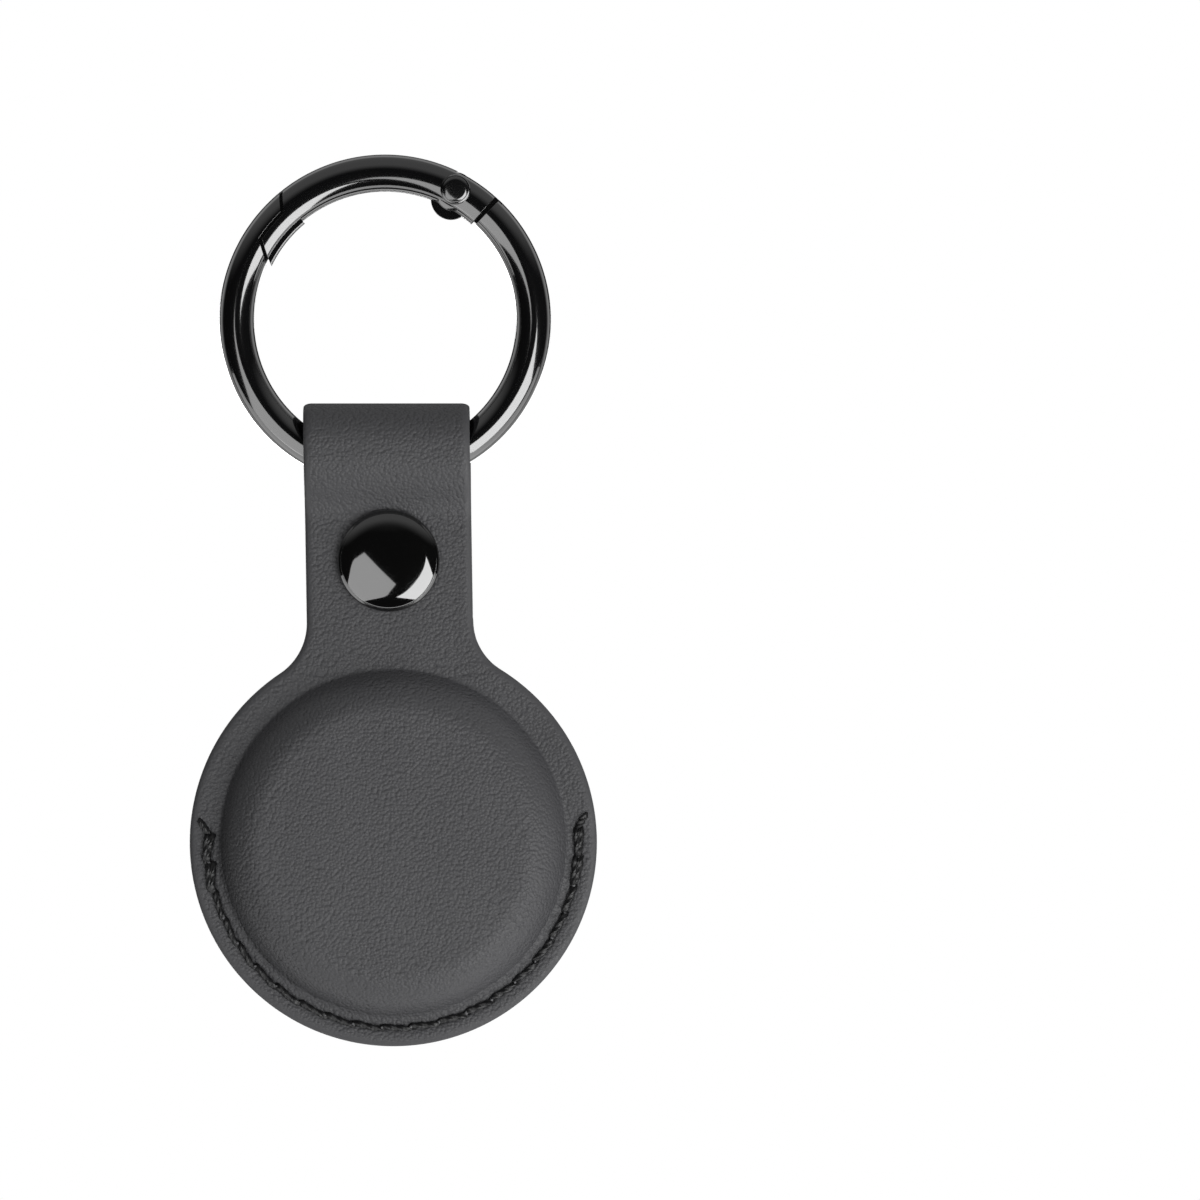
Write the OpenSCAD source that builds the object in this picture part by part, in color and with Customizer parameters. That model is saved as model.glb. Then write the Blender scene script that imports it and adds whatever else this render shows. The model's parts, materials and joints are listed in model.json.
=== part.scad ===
// Leather holder for a round tracker tag, hung on a spring gate ring.
// The ring lies in the XZ plane and its centre is the origin.
// The front of the holder faces -Y and the holder hangs down along -Z.
// All lengths are in millimetres and all angles in degrees.

/* [Ring] */
// Inner diameter of the ring
ring_inner_d = 26.2; // [22:0.1:32]
// Thickness of the ring's round wire
wire_d = 3.5; // [3:0.1:4]
// How far the gate's lips stand inside the ring
lip_depth = 0.4; // [0.2:0.05:0.8]
// Width across the gate's two lips
lip_w = 2.9; // [2.6:0.1:3.2]
// Direction of the hinge rivet, from +X towards +Z
hinge_angle = 60.7; // [50:0.1:70]
// Direction in which the gate's solid nose begins
nose_angle = 128.2; // [120:0.1:132]
// Gap of the hinge shoulder
shoulder_gap = 0.46; // [0.4:0.01:0.7]
// Gap between the hook and the gate
latch_gap = 0.35; // [0.25:0.01:0.5]
// Width of the gate's channel
channel_w = 1.5; // [1.3:0.05:1.7]
// Thickness of the ring's tongue in the channel
tongue_t = 1.3; // [1.1:0.05:1.4]
// Height of the ring's tongue
tongue_h = 3.1; // [2.7:0.1:3.1]

/* [Gate mechanism] */
// Diameter of the hinge rivet's shaft
rivet_d = 1.5; // [1.2:0.1:1.8]
// Diameter of the hinge rivet's head
rivet_head_d = 2.6; // [2.2:0.1:3]
// Diameter of the boss round the rivet
boss_d = 4.4; // [4:0.1:4.8]
// Radius of the cam lobe on the tongue
lobe_r = 2; // [1.8:0.05:2.1]
// Distance of the lobe's centre from the rivet
lobe_offset = 1.09; // [0.9:0.01:1.2]
// Diameter of the plunger
plunger_d = 1.2; // [1:0.05:1.25]
// Length of the plunger
plunger_l = 2.4; // [2:0.1:3]
// Wire of the gate spring
gate_spring_wire_d = 0.2; // [0.18:0.01:0.25]
// Outer diameter of the gate spring
gate_spring_d = 1.2; // [1.1:0.05:1.25]
// Pitch of the gate spring's curls
gate_spring_pitch = 0.75; // [0.7:0.01:1]

/* [Leather] */
// Thickness of the outer leather
skin_t = 0.75; // [0.6:0.05:0.9]
// Thickness of the lining
lining_t = 0.53; // [0.4:0.01:0.7]
// Film of glue between leather and lining
glue_t = 0.02; // [0.02:0.01:0.05]
// Space between two layers of leather that lie together
layer_gap = 0.3; // [0.3:0.05:0.5]

/* [Pocket] */
// Diameter of the pocket at its seam plane
pocket_d = 35.1; // [34.6:0.1:40]
// Distance from the pocket's foot to the seam
seam_inset = 0.95; // [0.8:0.05:1.4]
// Distance from the seam to the body's edge
seam_margin = 1.85; // [1.2:0.05:3]
// Depth of the pocket from its seam to its flat front
pocket_depth = 4; // [3.8:0.1:4.6]
// Slope of the pocket's wall
wall_slope = 75; // [65:1:80]
// Radius of the wall's foot, on the outside
foot_r = 0.4; // [0.3:0.05:0.6]
// Radius of the wall's shoulder, on the inside
shoulder_r = 1.2; // [1:0.1:1.6]
// Diameter of the window in the back
window_d = 27.7; // [24:0.1:28]
// Height of the seam's ends above the middle of the body
seam_end_z = 1.2; // [0:0.1:1.4]
// Height of the fold line of the back flap above the middle of the body
flap_line_z = 1.9; // [1.8:0.1:3]

/* [Strap] */
// Distance from the ring's lowest point to the snap's middle
snap_drop = 7.45; // [7.3:0.05:12]
// Width of the strap
strap_w = 16.6; // [15:0.1:18]
// Radius of the fillet between strap and body
neck_r = 6; // [4:0.1:8]
// Radius inside the fold that goes round the ring
fold_r = 2.75; // [2.7:0.05:3.1]
// Play between the fold and the ring's wire that carries it
fold_play = 0.55; // [0.4:0.05:0.8]
// Radius of the strap's corners at the fold
fold_corner_r = 0.5; // [0.3:0.1:1]
// Distance from the snap's middle to the folded end
folded_end_l = 5.6; // [5.4:0.1:6.5]
// Distance from the snap's middle to the tab's tip
tab_l = 10.85; // [9:0.1:10.9]

/* [Snap] */
// Distance from the middle of the body to the snap
snap_rise = 28.15; // [28:0.05:30]
// Diameter of the snap's caps
cap_d = 10.2; // [9:0.1:10.4]
// Height of a cap's rolled edge
cap_edge_h = 1.0; // [0.9:0.1:1.3]
// Height of a cap's dome above its edge
cap_dome_h = 0.7; // [0.4:0.1:1]
// Thickness of the caps' sheet metal
cap_t = 0.3; // [0.25:0.05:0.35]
// Outer diameter of the socket
socket_d = 8.6; // [7.6:0.1:9]
// Height of the socket
socket_h = 1.65; // [1.6:0.05:1.7]
// Diameter of the socket's mouth
mouth_d = 4.0; // [3.9:0.1:4.4]
// Diameter of the stud's ball
ball_d = 3.0; // [2.9:0.05:3.1]
// Diameter of the stud's neck
neck_d = 2.4; // [2.3:0.05:2.5]
// Outer diameter of the stud's flange
stud_d = 7.8; // [7:0.1:8]
// Outer diameter of the posts' tubes
post_d = 1.6; // [1.4:0.1:1.7]

/* [Seam] */
// Number of stitches
stitches = 21; // [17:1:23]
// Thickness of the thread
thread_d = 0.52; // [0.4:0.02:0.6]
// Diameter of the needle holes
needle_hole_d = 0.6; // [0.56:0.02:0.8]

/* [Hidden] */

$fn = 96;
// Overrun of every cut
cut = 1;
// Steps in one bend of the leather, and in one round stretch of a profile
bend_steps = 10;

// Ring
wire_r = wire_d / 2;
ring_r = ring_inner_d / 2 + wire_r;
ring_outer_r = ring_inner_d / 2 + wire_d;
lip_r = ring_inner_d / 2 - lip_depth;
pivot = ring_r * [cos(hinge_angle), sin(hinge_angle)];
// The shoulder's two faces lie on either side of this direction
shoulder_angle = hinge_angle - 14.3;
shoulder_half = shoulder_gap / ring_r * 90 / PI;
// The lips and the solid back of the channel begin past the hinge
lip_angle = hinge_angle - 6.7;
fork_angle = hinge_angle - 2.7;
fork_r = 1.7 * lobe_r;
// The latch is cut along arcs round the rivet, so that its gaps stay even as the gate swings
notch_share = 0.582;
nose_share = 0.671;
notch_r = notch_share * 2 * ring_r;
nose_r = nose_share * 2 * ring_r;
hook_angle = hinge_angle + 66;
latch_end_angle = hinge_angle + 110;
channel_floor_r = lip_r + 1.2 * channel_w;

// Cam lobe, plunger and spring
lobe_angle = hinge_angle + 182.8;
lobe = pivot + lobe_offset * [cos(lobe_angle), sin(lobe_angle)];
plunger_angle = hinge_angle + 14.3;
plunger_dir = [-sin(plunger_angle), cos(plunger_angle)];
spring_r = (lip_r + channel_floor_r) / 2;
plunger_play = 0.03;
plunger_face = lobe * plunger_dir + lobe_r + plunger_play;
plunger_end = plunger_face + plunger_l;
spring_turn_r = (gate_spring_d - gate_spring_wire_d) / 2;
spring_play = 0.08;
spring_seat = spring_play + gate_spring_wire_d / 2;
spring_start = plunger_angle + atan((plunger_end + spring_seat) / spring_r);
spring_stop = nose_angle - spring_seat / spring_r * 180 / PI;
spring_length = (spring_stop - spring_start) / 180 * PI * spring_r;
spring_curls = floor(spring_length / gate_spring_pitch);
rivet_play = 0.05;
boss_h = wire_d + 0.1 * wire_d;
rivet_head_h = 0.13 * rivet_head_d;

// Leather
leather_t = skin_t + glue_t + lining_t;
skin_in = lining_t + glue_t;
half_gap = layer_gap / 2;
face_y = half_gap + leather_t;
foot_c = pocket_d / 2;
seam_r = foot_c + seam_inset;
disc_r = seam_r + seam_margin;
disc_d = 2 * disc_r;
foot_ref_r = foot_r + leather_t;
snap_z = -ring_outer_r - snap_drop;
body_z = snap_z - snap_rise;
flap_z = body_z + flap_line_z;
seam_end = asin(seam_end_z / seam_r);
stitch_angle = (180 + 2 * seam_end) / stitches;
window_r = window_d / 2;

// Snap, built outwards from the strap's two layers
cap_r = cap_d / 2;
cap_roll_r = cap_edge_h / 2;
seat_gap = 0.02;
socket_y = face_y + seat_gap;
socket_top = socket_y + socket_h;
stud_gap = 0.1;
stud_t = 0.35;
tab_y = socket_top + stud_gap + stud_t;
tab_face = tab_y + leather_t + seat_gap;
post_flange_d = cap_d - 4 * cap_roll_r;
post_hole_d = post_d + 0.2;
socket_base_t = 0.3;
ball_top = socket_top - 0.62 * socket_h;
ball_h = 0.2 * socket_h;
ring_spring_y = socket_top - 0.26 * socket_h;
ring_spring_wire_d = 0.36;
ring_spring_gap_angle = 40;

// Strap's fold and the back tab's bends
fold_face = fold_r + leather_t;
fold_z = fold_r - fold_play;
fold_drop = sqrt(pow(ring_inner_d / 2, 2) - pow(strap_w / 2, 2)) + fold_z;
fold_tuck = 0.45;
fold_sink_l = 4.6;
fold_low = snap_z + cap_r - fold_tuck;
fold_high = fold_low + fold_sink_l;
tab_low = body_z + foot_c;
tab_high = snap_z - cap_r;
tab_out_y = fold_face + layer_gap;
tab_step_l = 3.2;
tab_out_low = snap_z + cap_r;
tab_out_high = tab_out_low + tab_step_l;
tab_tip = snap_z + tab_l;

// Points of a bend: each is [y, z, normal y, normal z], on a radius r round c.
// side is 1 where the leather lies outside the radius, and -1 where it lies inside.
function bend(c, r, a0, a1, side) =
    [for (i = [0 : bend_steps]) let (a = a0 + (a1 - a0) * i / bend_steps)
        [c.x + r * cos(a), c.y + r * sin(a), side * cos(a), side * sin(a)]];

// An S of two equal bends, from y0 at height z0 to y1 at height z1, leather on the +Y side
function s_half_angle(dy, dz) = atan(abs(dy) / dz);
function s_radius(dy, dz) = dz / 2 / sin(2 * s_half_angle(dy, dz));
function s_rise(y0, z0, y1, z1) =
    let (f = 2 * s_half_angle(y1 - y0, z1 - z0), r = s_radius(y1 - y0, z1 - z0))
    concat(bend([y0 + r, z0], r, 180, 180 - f, -1), bend([y1 - r, z1], r, -f, 0, 1));

function flip(path) = [for (p = path) [-p[0], p[1], -p[2], p[3]]];
function backwards(path) = [for (i = [len(path) - 1 : -1 : 0]) path[i]];
function at_depth(path, d) = [for (p = path) [p[0] + d * p[2], p[1] + d * p[3]]];
function strip(path, d0, d1) = concat(at_depth(path, d0), at_depth(backwards(path), d1));

// The strap's inner face: up the front, round the ring and down the back
strap_side = s_rise(half_gap, fold_low, fold_r, fold_high);
strap_path = concat(
    [[-half_gap, body_z, -1, 0]],
    flip(strap_side),
    bend([0, -fold_drop], fold_r, 180, 0, 1),
    backwards(strap_side),
    [[half_gap, snap_z - folded_end_l, 1, 0]]);

// The tab's inner face: up from the flange, over the socket and past the strap's fold
tab_path = concat(
    [[half_gap, flap_z, 1, 0]],
    s_rise(half_gap, tab_low, tab_y, tab_high),
    s_rise(tab_y, tab_out_low, tab_out_y, tab_out_high),
    [[tab_out_y, tab_tip, 1, 0]]);

// The pocket's inner face as [radius, height], from the flange to the flat front
wall_top = [0, pocket_depth - shoulder_r * (1 - sin(90 - wall_slope))];
wall_low_h = half_gap + foot_ref_r * (1 - cos(wall_slope));
wall_run = (wall_top.y - wall_low_h) / tan(wall_slope);
shoulder_c = foot_c - foot_ref_r * sin(wall_slope) - wall_run - shoulder_r * sin(wall_slope);
pocket_path = concat(
    [[disc_r, half_gap, 0, 1]],
    bend([foot_c, half_gap + foot_ref_r], foot_ref_r, -90, -90 - wall_slope, -1),
    bend([shoulder_c, pocket_depth - shoulder_r], shoulder_r, 90 - wall_slope, 90, 1));

// Placing: an outline in XZ between two Y planes, and a profile in YZ along X
module slab(y0, y1) {
    translate([0, y1, 0])
        rotate([90, 0, 0])
            linear_extrude(y1 - y0)
                children();
}
module across(w) {
    rotate([90, 0, 90])
        linear_extrude(w, center = true)
            children();
}
module pin_y(p, r, y0, y1) {
    translate([p.x, y1, p.y])
        rotate([90, 0, 0])
            cylinder(h = y1 - y0, r = r);
}
// A turned shape round the ring's axis, between two directions
module ring_sweep(a0, a1) {
    rotate([90, 0, 0])
        rotate([0, 0, a0])
            rotate_extrude(angle = a1 - a0)
                children();
}
module wire_section() {
    translate([ring_r, 0])
        circle(r = wire_r);
}
module band_section(r0, r1, w) {
    translate([r0, -w / 2])
        square([r1 - r0, w]);
}
// A turned shape round the snap's axis, with its height along -Y or +Y
module snap_turn(y, dir) {
    translate([0, y, snap_z])
        rotate([-90 * dir, 0, 0])
            rotate_extrude()
                children();
}
module box_section(r0, r1, h0, h1) {
    translate([r0, h0])
        square([r1 - r0, h1 - h0]);
}

module ring_frame() {
    color("#161618")
    difference() {
        union() {
            difference() {
                ring_sweep(hook_angle, 360 + shoulder_angle - shoulder_half)
                    wire_section();
                // Room for the gate's outer end and for its nose
                intersection() {
                    pin_y(pivot, notch_r + latch_gap, -wire_d, wire_d);
                    latch_zone();
                }
                intersection() {
                    pin_y(pivot, nose_r + latch_gap, -wire_d, wire_d);
                    pin_y([0, 0], ring_r + latch_gap / 2, -wire_d, wire_d);
                    latch_zone();
                }
            }
            // The tongue, with the lobe that drives the plunger
            ring_sweep(shoulder_angle - 3 * shoulder_half, hinge_angle)
                band_section(ring_r - tongue_h / 2, ring_r + tongue_h / 2, tongue_t);
            pin_y(pivot, wire_r, -tongue_t / 2, tongue_t / 2);
            pin_y(lobe, lobe_r, -tongue_t / 2, tongue_t / 2);
        }
        pin_y(pivot, rivet_d / 2 + rivet_play, -tongue_t, tongue_t);
    }
}
module latch_zone() {
    ring_sweep(hook_angle - 10, latch_end_angle)
        band_section(lip_r / 2, 2 * ring_r, 2 * wire_d);
}

module ring_gate() {
    color("#1b1b1d")
    difference() {
        intersection() {
            union() {
                ring_sweep(shoulder_angle + shoulder_half, latch_end_angle)
                    wire_section();
                ring_sweep(lip_angle, latch_end_angle)
                    band_section(lip_r, ring_r, lip_w);
                pin_y(pivot, boss_d / 2, -boss_h / 2, boss_h / 2);
            }
            union() {
                pin_y(pivot, notch_r, -wire_d, wire_d);
                intersection() {
                    pin_y(pivot, nose_r, -wire_d, wire_d);
                    pin_y([0, 0], ring_r - latch_gap / 2, -wire_d, wire_d);
                }
            }
        }
        // The channel for the spring, and the fork for the tongue
        ring_sweep(shoulder_angle - cut, nose_angle)
            band_section(lip_r / 2, channel_floor_r, channel_w);
        ring_sweep(shoulder_angle - cut, fork_angle)
            band_section(lip_r / 2, 2 * ring_r, channel_w);
        pin_y(pivot, fork_r, -channel_w / 2, channel_w / 2);
        pin_y(pivot, rivet_d / 2, -wire_d, wire_d);
    }
}

module hinge_rivet() {
    color("#2a2a2c")
    difference() {
        union() {
            pin_y(pivot, rivet_d / 2, -boss_h / 2 - rivet_head_h, boss_h / 2 + rivet_head_h);
            // A low domed head in front and a rolled end behind
            intersection() {
                pin_y(pivot, rivet_head_d / 2, -boss_h / 2 - rivet_head_h, -boss_h / 2);
                translate([pivot.x, rivet_head_d - boss_h / 2 - rivet_head_h, pivot.y])
                    sphere(r = rivet_head_d);
            }
            pin_y(pivot, rivet_head_d / 2, boss_h / 2, boss_h / 2 + rivet_head_h);
        }
        // The rolled end is a short open tube
        translate([pivot.x, boss_h / 2 - rivet_head_h, pivot.y])
            rotate([-90, 0, 0])
                cylinder(h = 2 * rivet_head_h, r1 = rivet_d / 6, r2 = rivet_d / 2);
    }
}

module gate_plunger() {
    color("#8d8d90")
    translate([spring_r * cos(plunger_angle), 0, spring_r * sin(plunger_angle)])
        rotate([0, -plunger_angle, 0])
            translate([0, 0, plunger_face]) {
                cylinder(h = plunger_l - plunger_d / 2, r = plunger_d / 2);
                translate([0, 0, plunger_l - plunger_d / 2])
                    cylinder(h = plunger_d / 2, r = spring_turn_r - gate_spring_wire_d);
            }
}

// The gate spring is one unbroken tube wound along the gate's arc
spring_sides = 6;
spring_rings = 8;
function spring_turns(i) = i / spring_rings;
function spring_along(i) = spring_start + (spring_stop - spring_start) * i / (spring_rings * spring_curls);
function spring_point(i) =
    let (a = spring_along(i), t = 360 * spring_turns(i), r = spring_r + spring_turn_r * cos(t))
    [r * cos(a), spring_turn_r * sin(t), r * sin(a)];
function unit(v) = v / norm(v);
function spring_ring(i) =
    let (
        p = spring_point(i),
        a = spring_along(i),
        c = [spring_r * cos(a), 0, spring_r * sin(a)],
        n = unit(p - c),
        d = unit(spring_point(i + 0.5) - spring_point(i - 0.5)),
        b = cross(d, n))
    [for (k = [0 : spring_sides - 1]) let (w = 360 * k / spring_sides)
        p + gate_spring_wire_d / 2 * (cos(w) * unit(cross(b, d)) + sin(w) * b)];
spring_count = spring_rings * spring_curls;
spring_gap = min([for (i = [0 : spring_count - spring_rings])
    norm(spring_point(i + spring_rings) - spring_point(i))]) - gate_spring_wire_d;
echo(gate_spring_least_gap = spring_gap);
module gate_spring() {
    color("#b5b5b8")
    polyhedron(
        points = [for (i = [0 : spring_count]) for (p = spring_ring(i)) p],
        faces = concat(
            [[for (k = [0 : spring_sides - 1]) k]],
            [for (i = [0 : spring_count - 1]) for (k = [0 : spring_sides - 1]) for (half = [0, 1])
                let (m = (k + 1) % spring_sides, s = spring_sides * i)
                half == 0
                    ? [s + m, s + k, s + k + spring_sides]
                    : [s + m, s + k + spring_sides, s + m + spring_sides]],
            [[for (k = [spring_sides - 1 : -1 : 0]) spring_sides * spring_count + k]]));
}

// Outline of the pocket's foot, which the neck and strap stop short of
module pocket_outline() {
    translate([0, body_z])
        circle(r = foot_c);
}
// Outline of the neck: the strap's foot with a fillet on each side
neck_h = sqrt(pow(disc_r + neck_r, 2) - pow(strap_w / 2 + neck_r, 2));
neck_touch_share = disc_r / (disc_r + neck_r);
module neck_outline() {
    difference() {
        translate([-neck_touch_share * (strap_w / 2 + neck_r), body_z + neck_touch_share * neck_h])
            square([2 * neck_touch_share * (strap_w / 2 + neck_r), (1 - neck_touch_share) * neck_h]);
        for (side = [-1, 1])
            translate([side * (strap_w / 2 + neck_r), body_z + neck_h])
                circle(r = neck_r);
    }
}
// Outline of the strap up to a given height, and of the tab with its round end
module strap_outline(top) {
    translate([-strap_w / 2, body_z + disc_r / 2])
        square([strap_w, top - body_z - disc_r / 2]);
}
module fold_outline() {
    top = -fold_drop + fold_face;
    strap_outline(top - fold_corner_r);
    translate([fold_corner_r - strap_w / 2, top - 2 * fold_corner_r])
        square([strap_w - 2 * fold_corner_r, 2 * fold_corner_r]);
    for (side = [-1, 1])
        translate([side * (strap_w / 2 - fold_corner_r), top - fold_corner_r])
            circle(r = fold_corner_r);
}
tab_r = strap_w / 2 - 0.01 * strap_w;
module tab_outline() {
    translate([-tab_r, body_z + disc_r / 2])
        square([2 * tab_r, tab_tip - tab_r - body_z - disc_r / 2]);
    translate([0, tab_tip - tab_r])
        circle(r = tab_r);
}

// Needle holes through the flange
module needle_holes(y0, y1) {
    for (i = [0 : stitches])
        pin_y(seam_point(i), needle_hole_d / 2, y0, y1);
}
function seam_point(i) =
    let (a = seam_end - stitch_angle * i)
    [seam_r * cos(a), body_z + seam_r * sin(a)];

// A pressed shell of the pocket between two depths in the leather, open at a window if r0 is over zero
module pocket_shell(dir, d0, d1, r0) {
    translate([0, 0, body_z])
        rotate([-90 * dir, 0, 0])
            rotate_extrude()
                polygon(concat(
                    at_depth(pocket_path, d0),
                    [[r0, pocket_depth + d0], [r0, pocket_depth + d1]],
                    at_depth(backwards(pocket_path), d1)));
}

// The front is one piece: the body, the neck and the strap, which folds over the ring
module front_layer(d0, d1) {
    difference() {
        union() {
            pocket_shell(-1, d0, d1, 0);
            slab(-half_gap - d1, -half_gap - d0)
                difference() {
                    neck_outline();
                    pocket_outline();
                }
            intersection() {
                slab(-2 * fold_face, 2 * fold_face)
                    difference() {
                        fold_outline();
                        pocket_outline();
                    }
                across(2 * strap_w)
                    polygon(strip(strap_path, d0, d1));
            }
        }
        pin_y([0, snap_z], post_hole_d / 2, -2 * fold_face, 2 * fold_face);
        needle_holes(-2 * face_y, 0);
    }
}
module front_panel() {
    color("#48484a")
    front_layer(skin_in, leather_t);
}
module front_lining() {
    color("#262628")
    front_layer(0, lining_t);
}

// The back is one piece too, cut here at its fold line into the sewn part and the flap
module back_body(d0, d1) {
    pocket_shell(1, d0, d1, window_r);
}
module layer_between(z0, z1) {
    translate([-disc_d, -disc_d, z0])
        cube([2 * disc_d, 2 * disc_d, z1 - z0]);
}
module back_lower(d0, d1) {
    difference() {
        intersection() {
            back_body(d0, d1);
            layer_between(flap_z - disc_d, flap_z);
        }
        needle_holes(0, 2 * face_y);
    }
}
// The flap's flange bends out above the pocket together with its neck and tab
module back_upper(d0, d1) {
    difference() {
        union() {
            intersection() {
                back_body(d0, d1);
                layer_between(flap_z, tab_low);
            }
            intersection() {
                slab(0, 2 * tab_out_y)
                    difference() {
                        union() {
                            translate([0, body_z])
                                circle(r = disc_r);
                            neck_outline();
                            tab_outline();
                        }
                        pocket_outline();
                    }
                across(2 * disc_d)
                    polygon(strip(tab_path, d0, d1));
            }
        }
        pin_y([0, snap_z], post_hole_d / 2, 0, 2 * tab_out_y);
    }
}
module back_panel() {
    color("#444446")
    back_lower(skin_in, leather_t);
}
module back_lining() {
    color("#262628")
    back_lower(0, lining_t);
}
module back_flap() {
    color("#4c4c4e")
    back_upper(skin_in, leather_t);
}
module back_flap_lining() {
    color("#2a2a2c")
    back_upper(0, lining_t);
}

// A thread: one round run on the leather's face, and a leg down each needle hole
stitch_gap_share = 0.1;
module thread(dir) {
    y = dir * (face_y + thread_d / 2 + seat_gap);
    for (i = [0 : stitches - 1])
        translate([0, y, body_z])
            ring_sweep(
                seam_end - stitch_angle * (i + 1 - stitch_gap_share / 2),
                seam_end - stitch_angle * (i + stitch_gap_share / 2))
                translate([seam_r, 0])
                    circle(r = thread_d / 2, $fn = 24);
    for (i = [0 : stitches])
        pin_y(seam_point(i), thread_d / 2 - seat_gap,
            min(y, dir * seat_gap), max(y, dir * seat_gap));
}
module needle_thread() {
    color("#5a5a5c")
    thread(1);
}
module bobbin_thread() {
    color("#1e1e20")
    thread(-1);
}

// A snap cap: a rolled edge, a flat step and a low dome over a hollow
dome_r = (pow(cap_r - cap_roll_r, 2) + pow(cap_dome_h, 2)) / 2 / cap_dome_h;
module cap(y, dir) {
    translate([0, y, snap_z])
        rotate([-90 * dir, 0, 0])
            difference() {
                union() {
                    rotate_extrude() {
                        translate([cap_r - cap_roll_r, cap_roll_r])
                            circle(r = cap_roll_r);
                        box_section(0, cap_r - cap_roll_r, 0, cap_edge_h);
                    }
                    intersection() {
                        translate([0, 0, cap_edge_h + cap_dome_h - dome_r])
                            sphere(r = dome_r);
                        cylinder(h = cap_edge_h + cap_dome_h, r = cap_r - cap_roll_r);
                    }
                }
                translate([0, 0, -cut])
                    cylinder(h = cut + cap_edge_h - cap_t, r = cap_r - 2 * cap_roll_r + cap_t);
            }
}
module front_cap() {
    color("#0c0c0d")
    cap(-face_y - seat_gap, -1);
}
module back_cap() {
    color("#0c0c0d")
    cap(tab_face, 1);
}

// A post: a flange inside the cap and a tube through the leather, with a rolled end
module post(y, dir, reach, roll) {
    snap_turn(y, dir) {
        box_section(post_d / 4, post_flange_d / 2, 0, cap_t);
        box_section(post_d / 4, post_d / 2, -reach, cap_t);
        box_section(post_d / 4, roll, -reach, -reach + cap_t);
    }
}
front_reach = 2 * face_y + 2 * seat_gap + socket_base_t + seat_gap + cap_t;
back_reach = tab_face - ball_top - cap_t;
module front_cap_post() {
    color("#7f7f82")
    post(-face_y - seat_gap, -1, front_reach, post_d / 2 + cap_t);
}
module back_cap_post() {
    color("#7f7f82")
    post(tab_face, 1, back_reach, post_d / 2);
}

// The socket: a dish on the strap's folded end, with a base, a wall and a rim
module snap_socket() {
    color("#3a3a3c")
    snap_turn(socket_y, 1)
        difference() {
            box_section(post_hole_d / 2, socket_d / 2, 0, socket_h);
            box_section(0, mouth_d / 2, socket_base_t, socket_h + cut);
            box_section(mouth_d / 2 + 3 * cap_t, socket_d / 2 - cap_t, -cut, socket_h - cap_t);
        }
}
module socket_spring() {
    color("#a8a8ac")
    translate([0, ring_spring_y, snap_z])
        ring_sweep(ring_spring_gap_angle / 2, 360 - ring_spring_gap_angle / 2)
            translate([ball_d / 2 + ring_spring_wire_d / 4, 0])
                circle(r = ring_spring_wire_d / 2, $fn = 24);
}
module snap_stud() {
    color("#3a3a3c")
    snap_turn(tab_y - seat_gap, -1) {
        box_section(post_d / 2 + seat_gap, stud_d / 2, 0, stud_t - seat_gap);
        box_section(post_d / 2 + seat_gap, neck_d / 2, 0, tab_y - seat_gap - ball_top);
        box_section(post_d / 2 + seat_gap, ball_d / 2,
            tab_y - seat_gap - ball_top - ball_h, tab_y - seat_gap - ball_top);
    }
}

ring_frame();
ring_gate();
hinge_rivet();
gate_spring();
gate_plunger();
front_panel();
front_lining();
back_panel();
back_lining();
back_flap();
back_flap_lining();
needle_thread();
bobbin_thread();
front_cap();
front_cap_post();
snap_socket();
socket_spring();
back_cap();
back_cap_post();
snap_stud();
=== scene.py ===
# %% [markdown]
# # A leather holder for a round tracker tag
#
# The holder is two sheets of coated leather. The front sheet has a pocket pressed into it, and
# its strap folds over a ring with a spring gate. The back sheet has a round window, and its upper
# half lifts as a flap that a snap holds shut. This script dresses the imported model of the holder:
# the leather, the threads, the snap and the ring each get a finished surface in the same place.

import json
import math

import bmesh
import bpy
import numpy as np
from mathutils import Matrix, Vector

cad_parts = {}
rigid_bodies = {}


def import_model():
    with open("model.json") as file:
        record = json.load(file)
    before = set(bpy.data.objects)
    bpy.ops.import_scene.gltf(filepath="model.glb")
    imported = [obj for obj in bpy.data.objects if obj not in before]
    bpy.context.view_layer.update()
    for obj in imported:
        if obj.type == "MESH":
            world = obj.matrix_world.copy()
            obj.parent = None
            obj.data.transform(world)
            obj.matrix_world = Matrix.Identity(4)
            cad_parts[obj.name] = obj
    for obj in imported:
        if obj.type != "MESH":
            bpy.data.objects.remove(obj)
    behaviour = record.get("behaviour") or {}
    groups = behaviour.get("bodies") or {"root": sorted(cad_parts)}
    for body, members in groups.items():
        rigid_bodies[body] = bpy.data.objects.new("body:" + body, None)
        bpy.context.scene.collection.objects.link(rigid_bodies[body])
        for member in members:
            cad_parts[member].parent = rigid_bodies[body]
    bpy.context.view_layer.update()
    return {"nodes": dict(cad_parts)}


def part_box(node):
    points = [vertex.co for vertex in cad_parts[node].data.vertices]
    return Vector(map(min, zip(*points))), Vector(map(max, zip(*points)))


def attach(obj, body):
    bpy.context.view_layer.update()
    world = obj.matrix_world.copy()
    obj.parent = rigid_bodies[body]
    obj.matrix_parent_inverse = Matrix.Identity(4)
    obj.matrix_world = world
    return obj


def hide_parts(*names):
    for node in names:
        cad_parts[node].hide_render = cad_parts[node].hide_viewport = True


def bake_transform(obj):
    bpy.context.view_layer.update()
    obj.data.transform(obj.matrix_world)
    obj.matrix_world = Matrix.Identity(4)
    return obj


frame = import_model()
MM = 0.001

# %% [markdown]
# The ring and the snap are rigid, so their main sizes are read from the frame. The leather's own
# sizes are its maker's: how thick the sheets are, how wide the strap is cut, and how the pocket
# is pressed. All shapes are worked out in millimetres and turned to metres as the last step.

# %% Driving sizes
def box_mm(name):
    """Lowest and highest corner of a node of the frame, in millimetres."""
    low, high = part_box(name)
    return np.array(low) / MM, np.array(high) / MM


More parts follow.
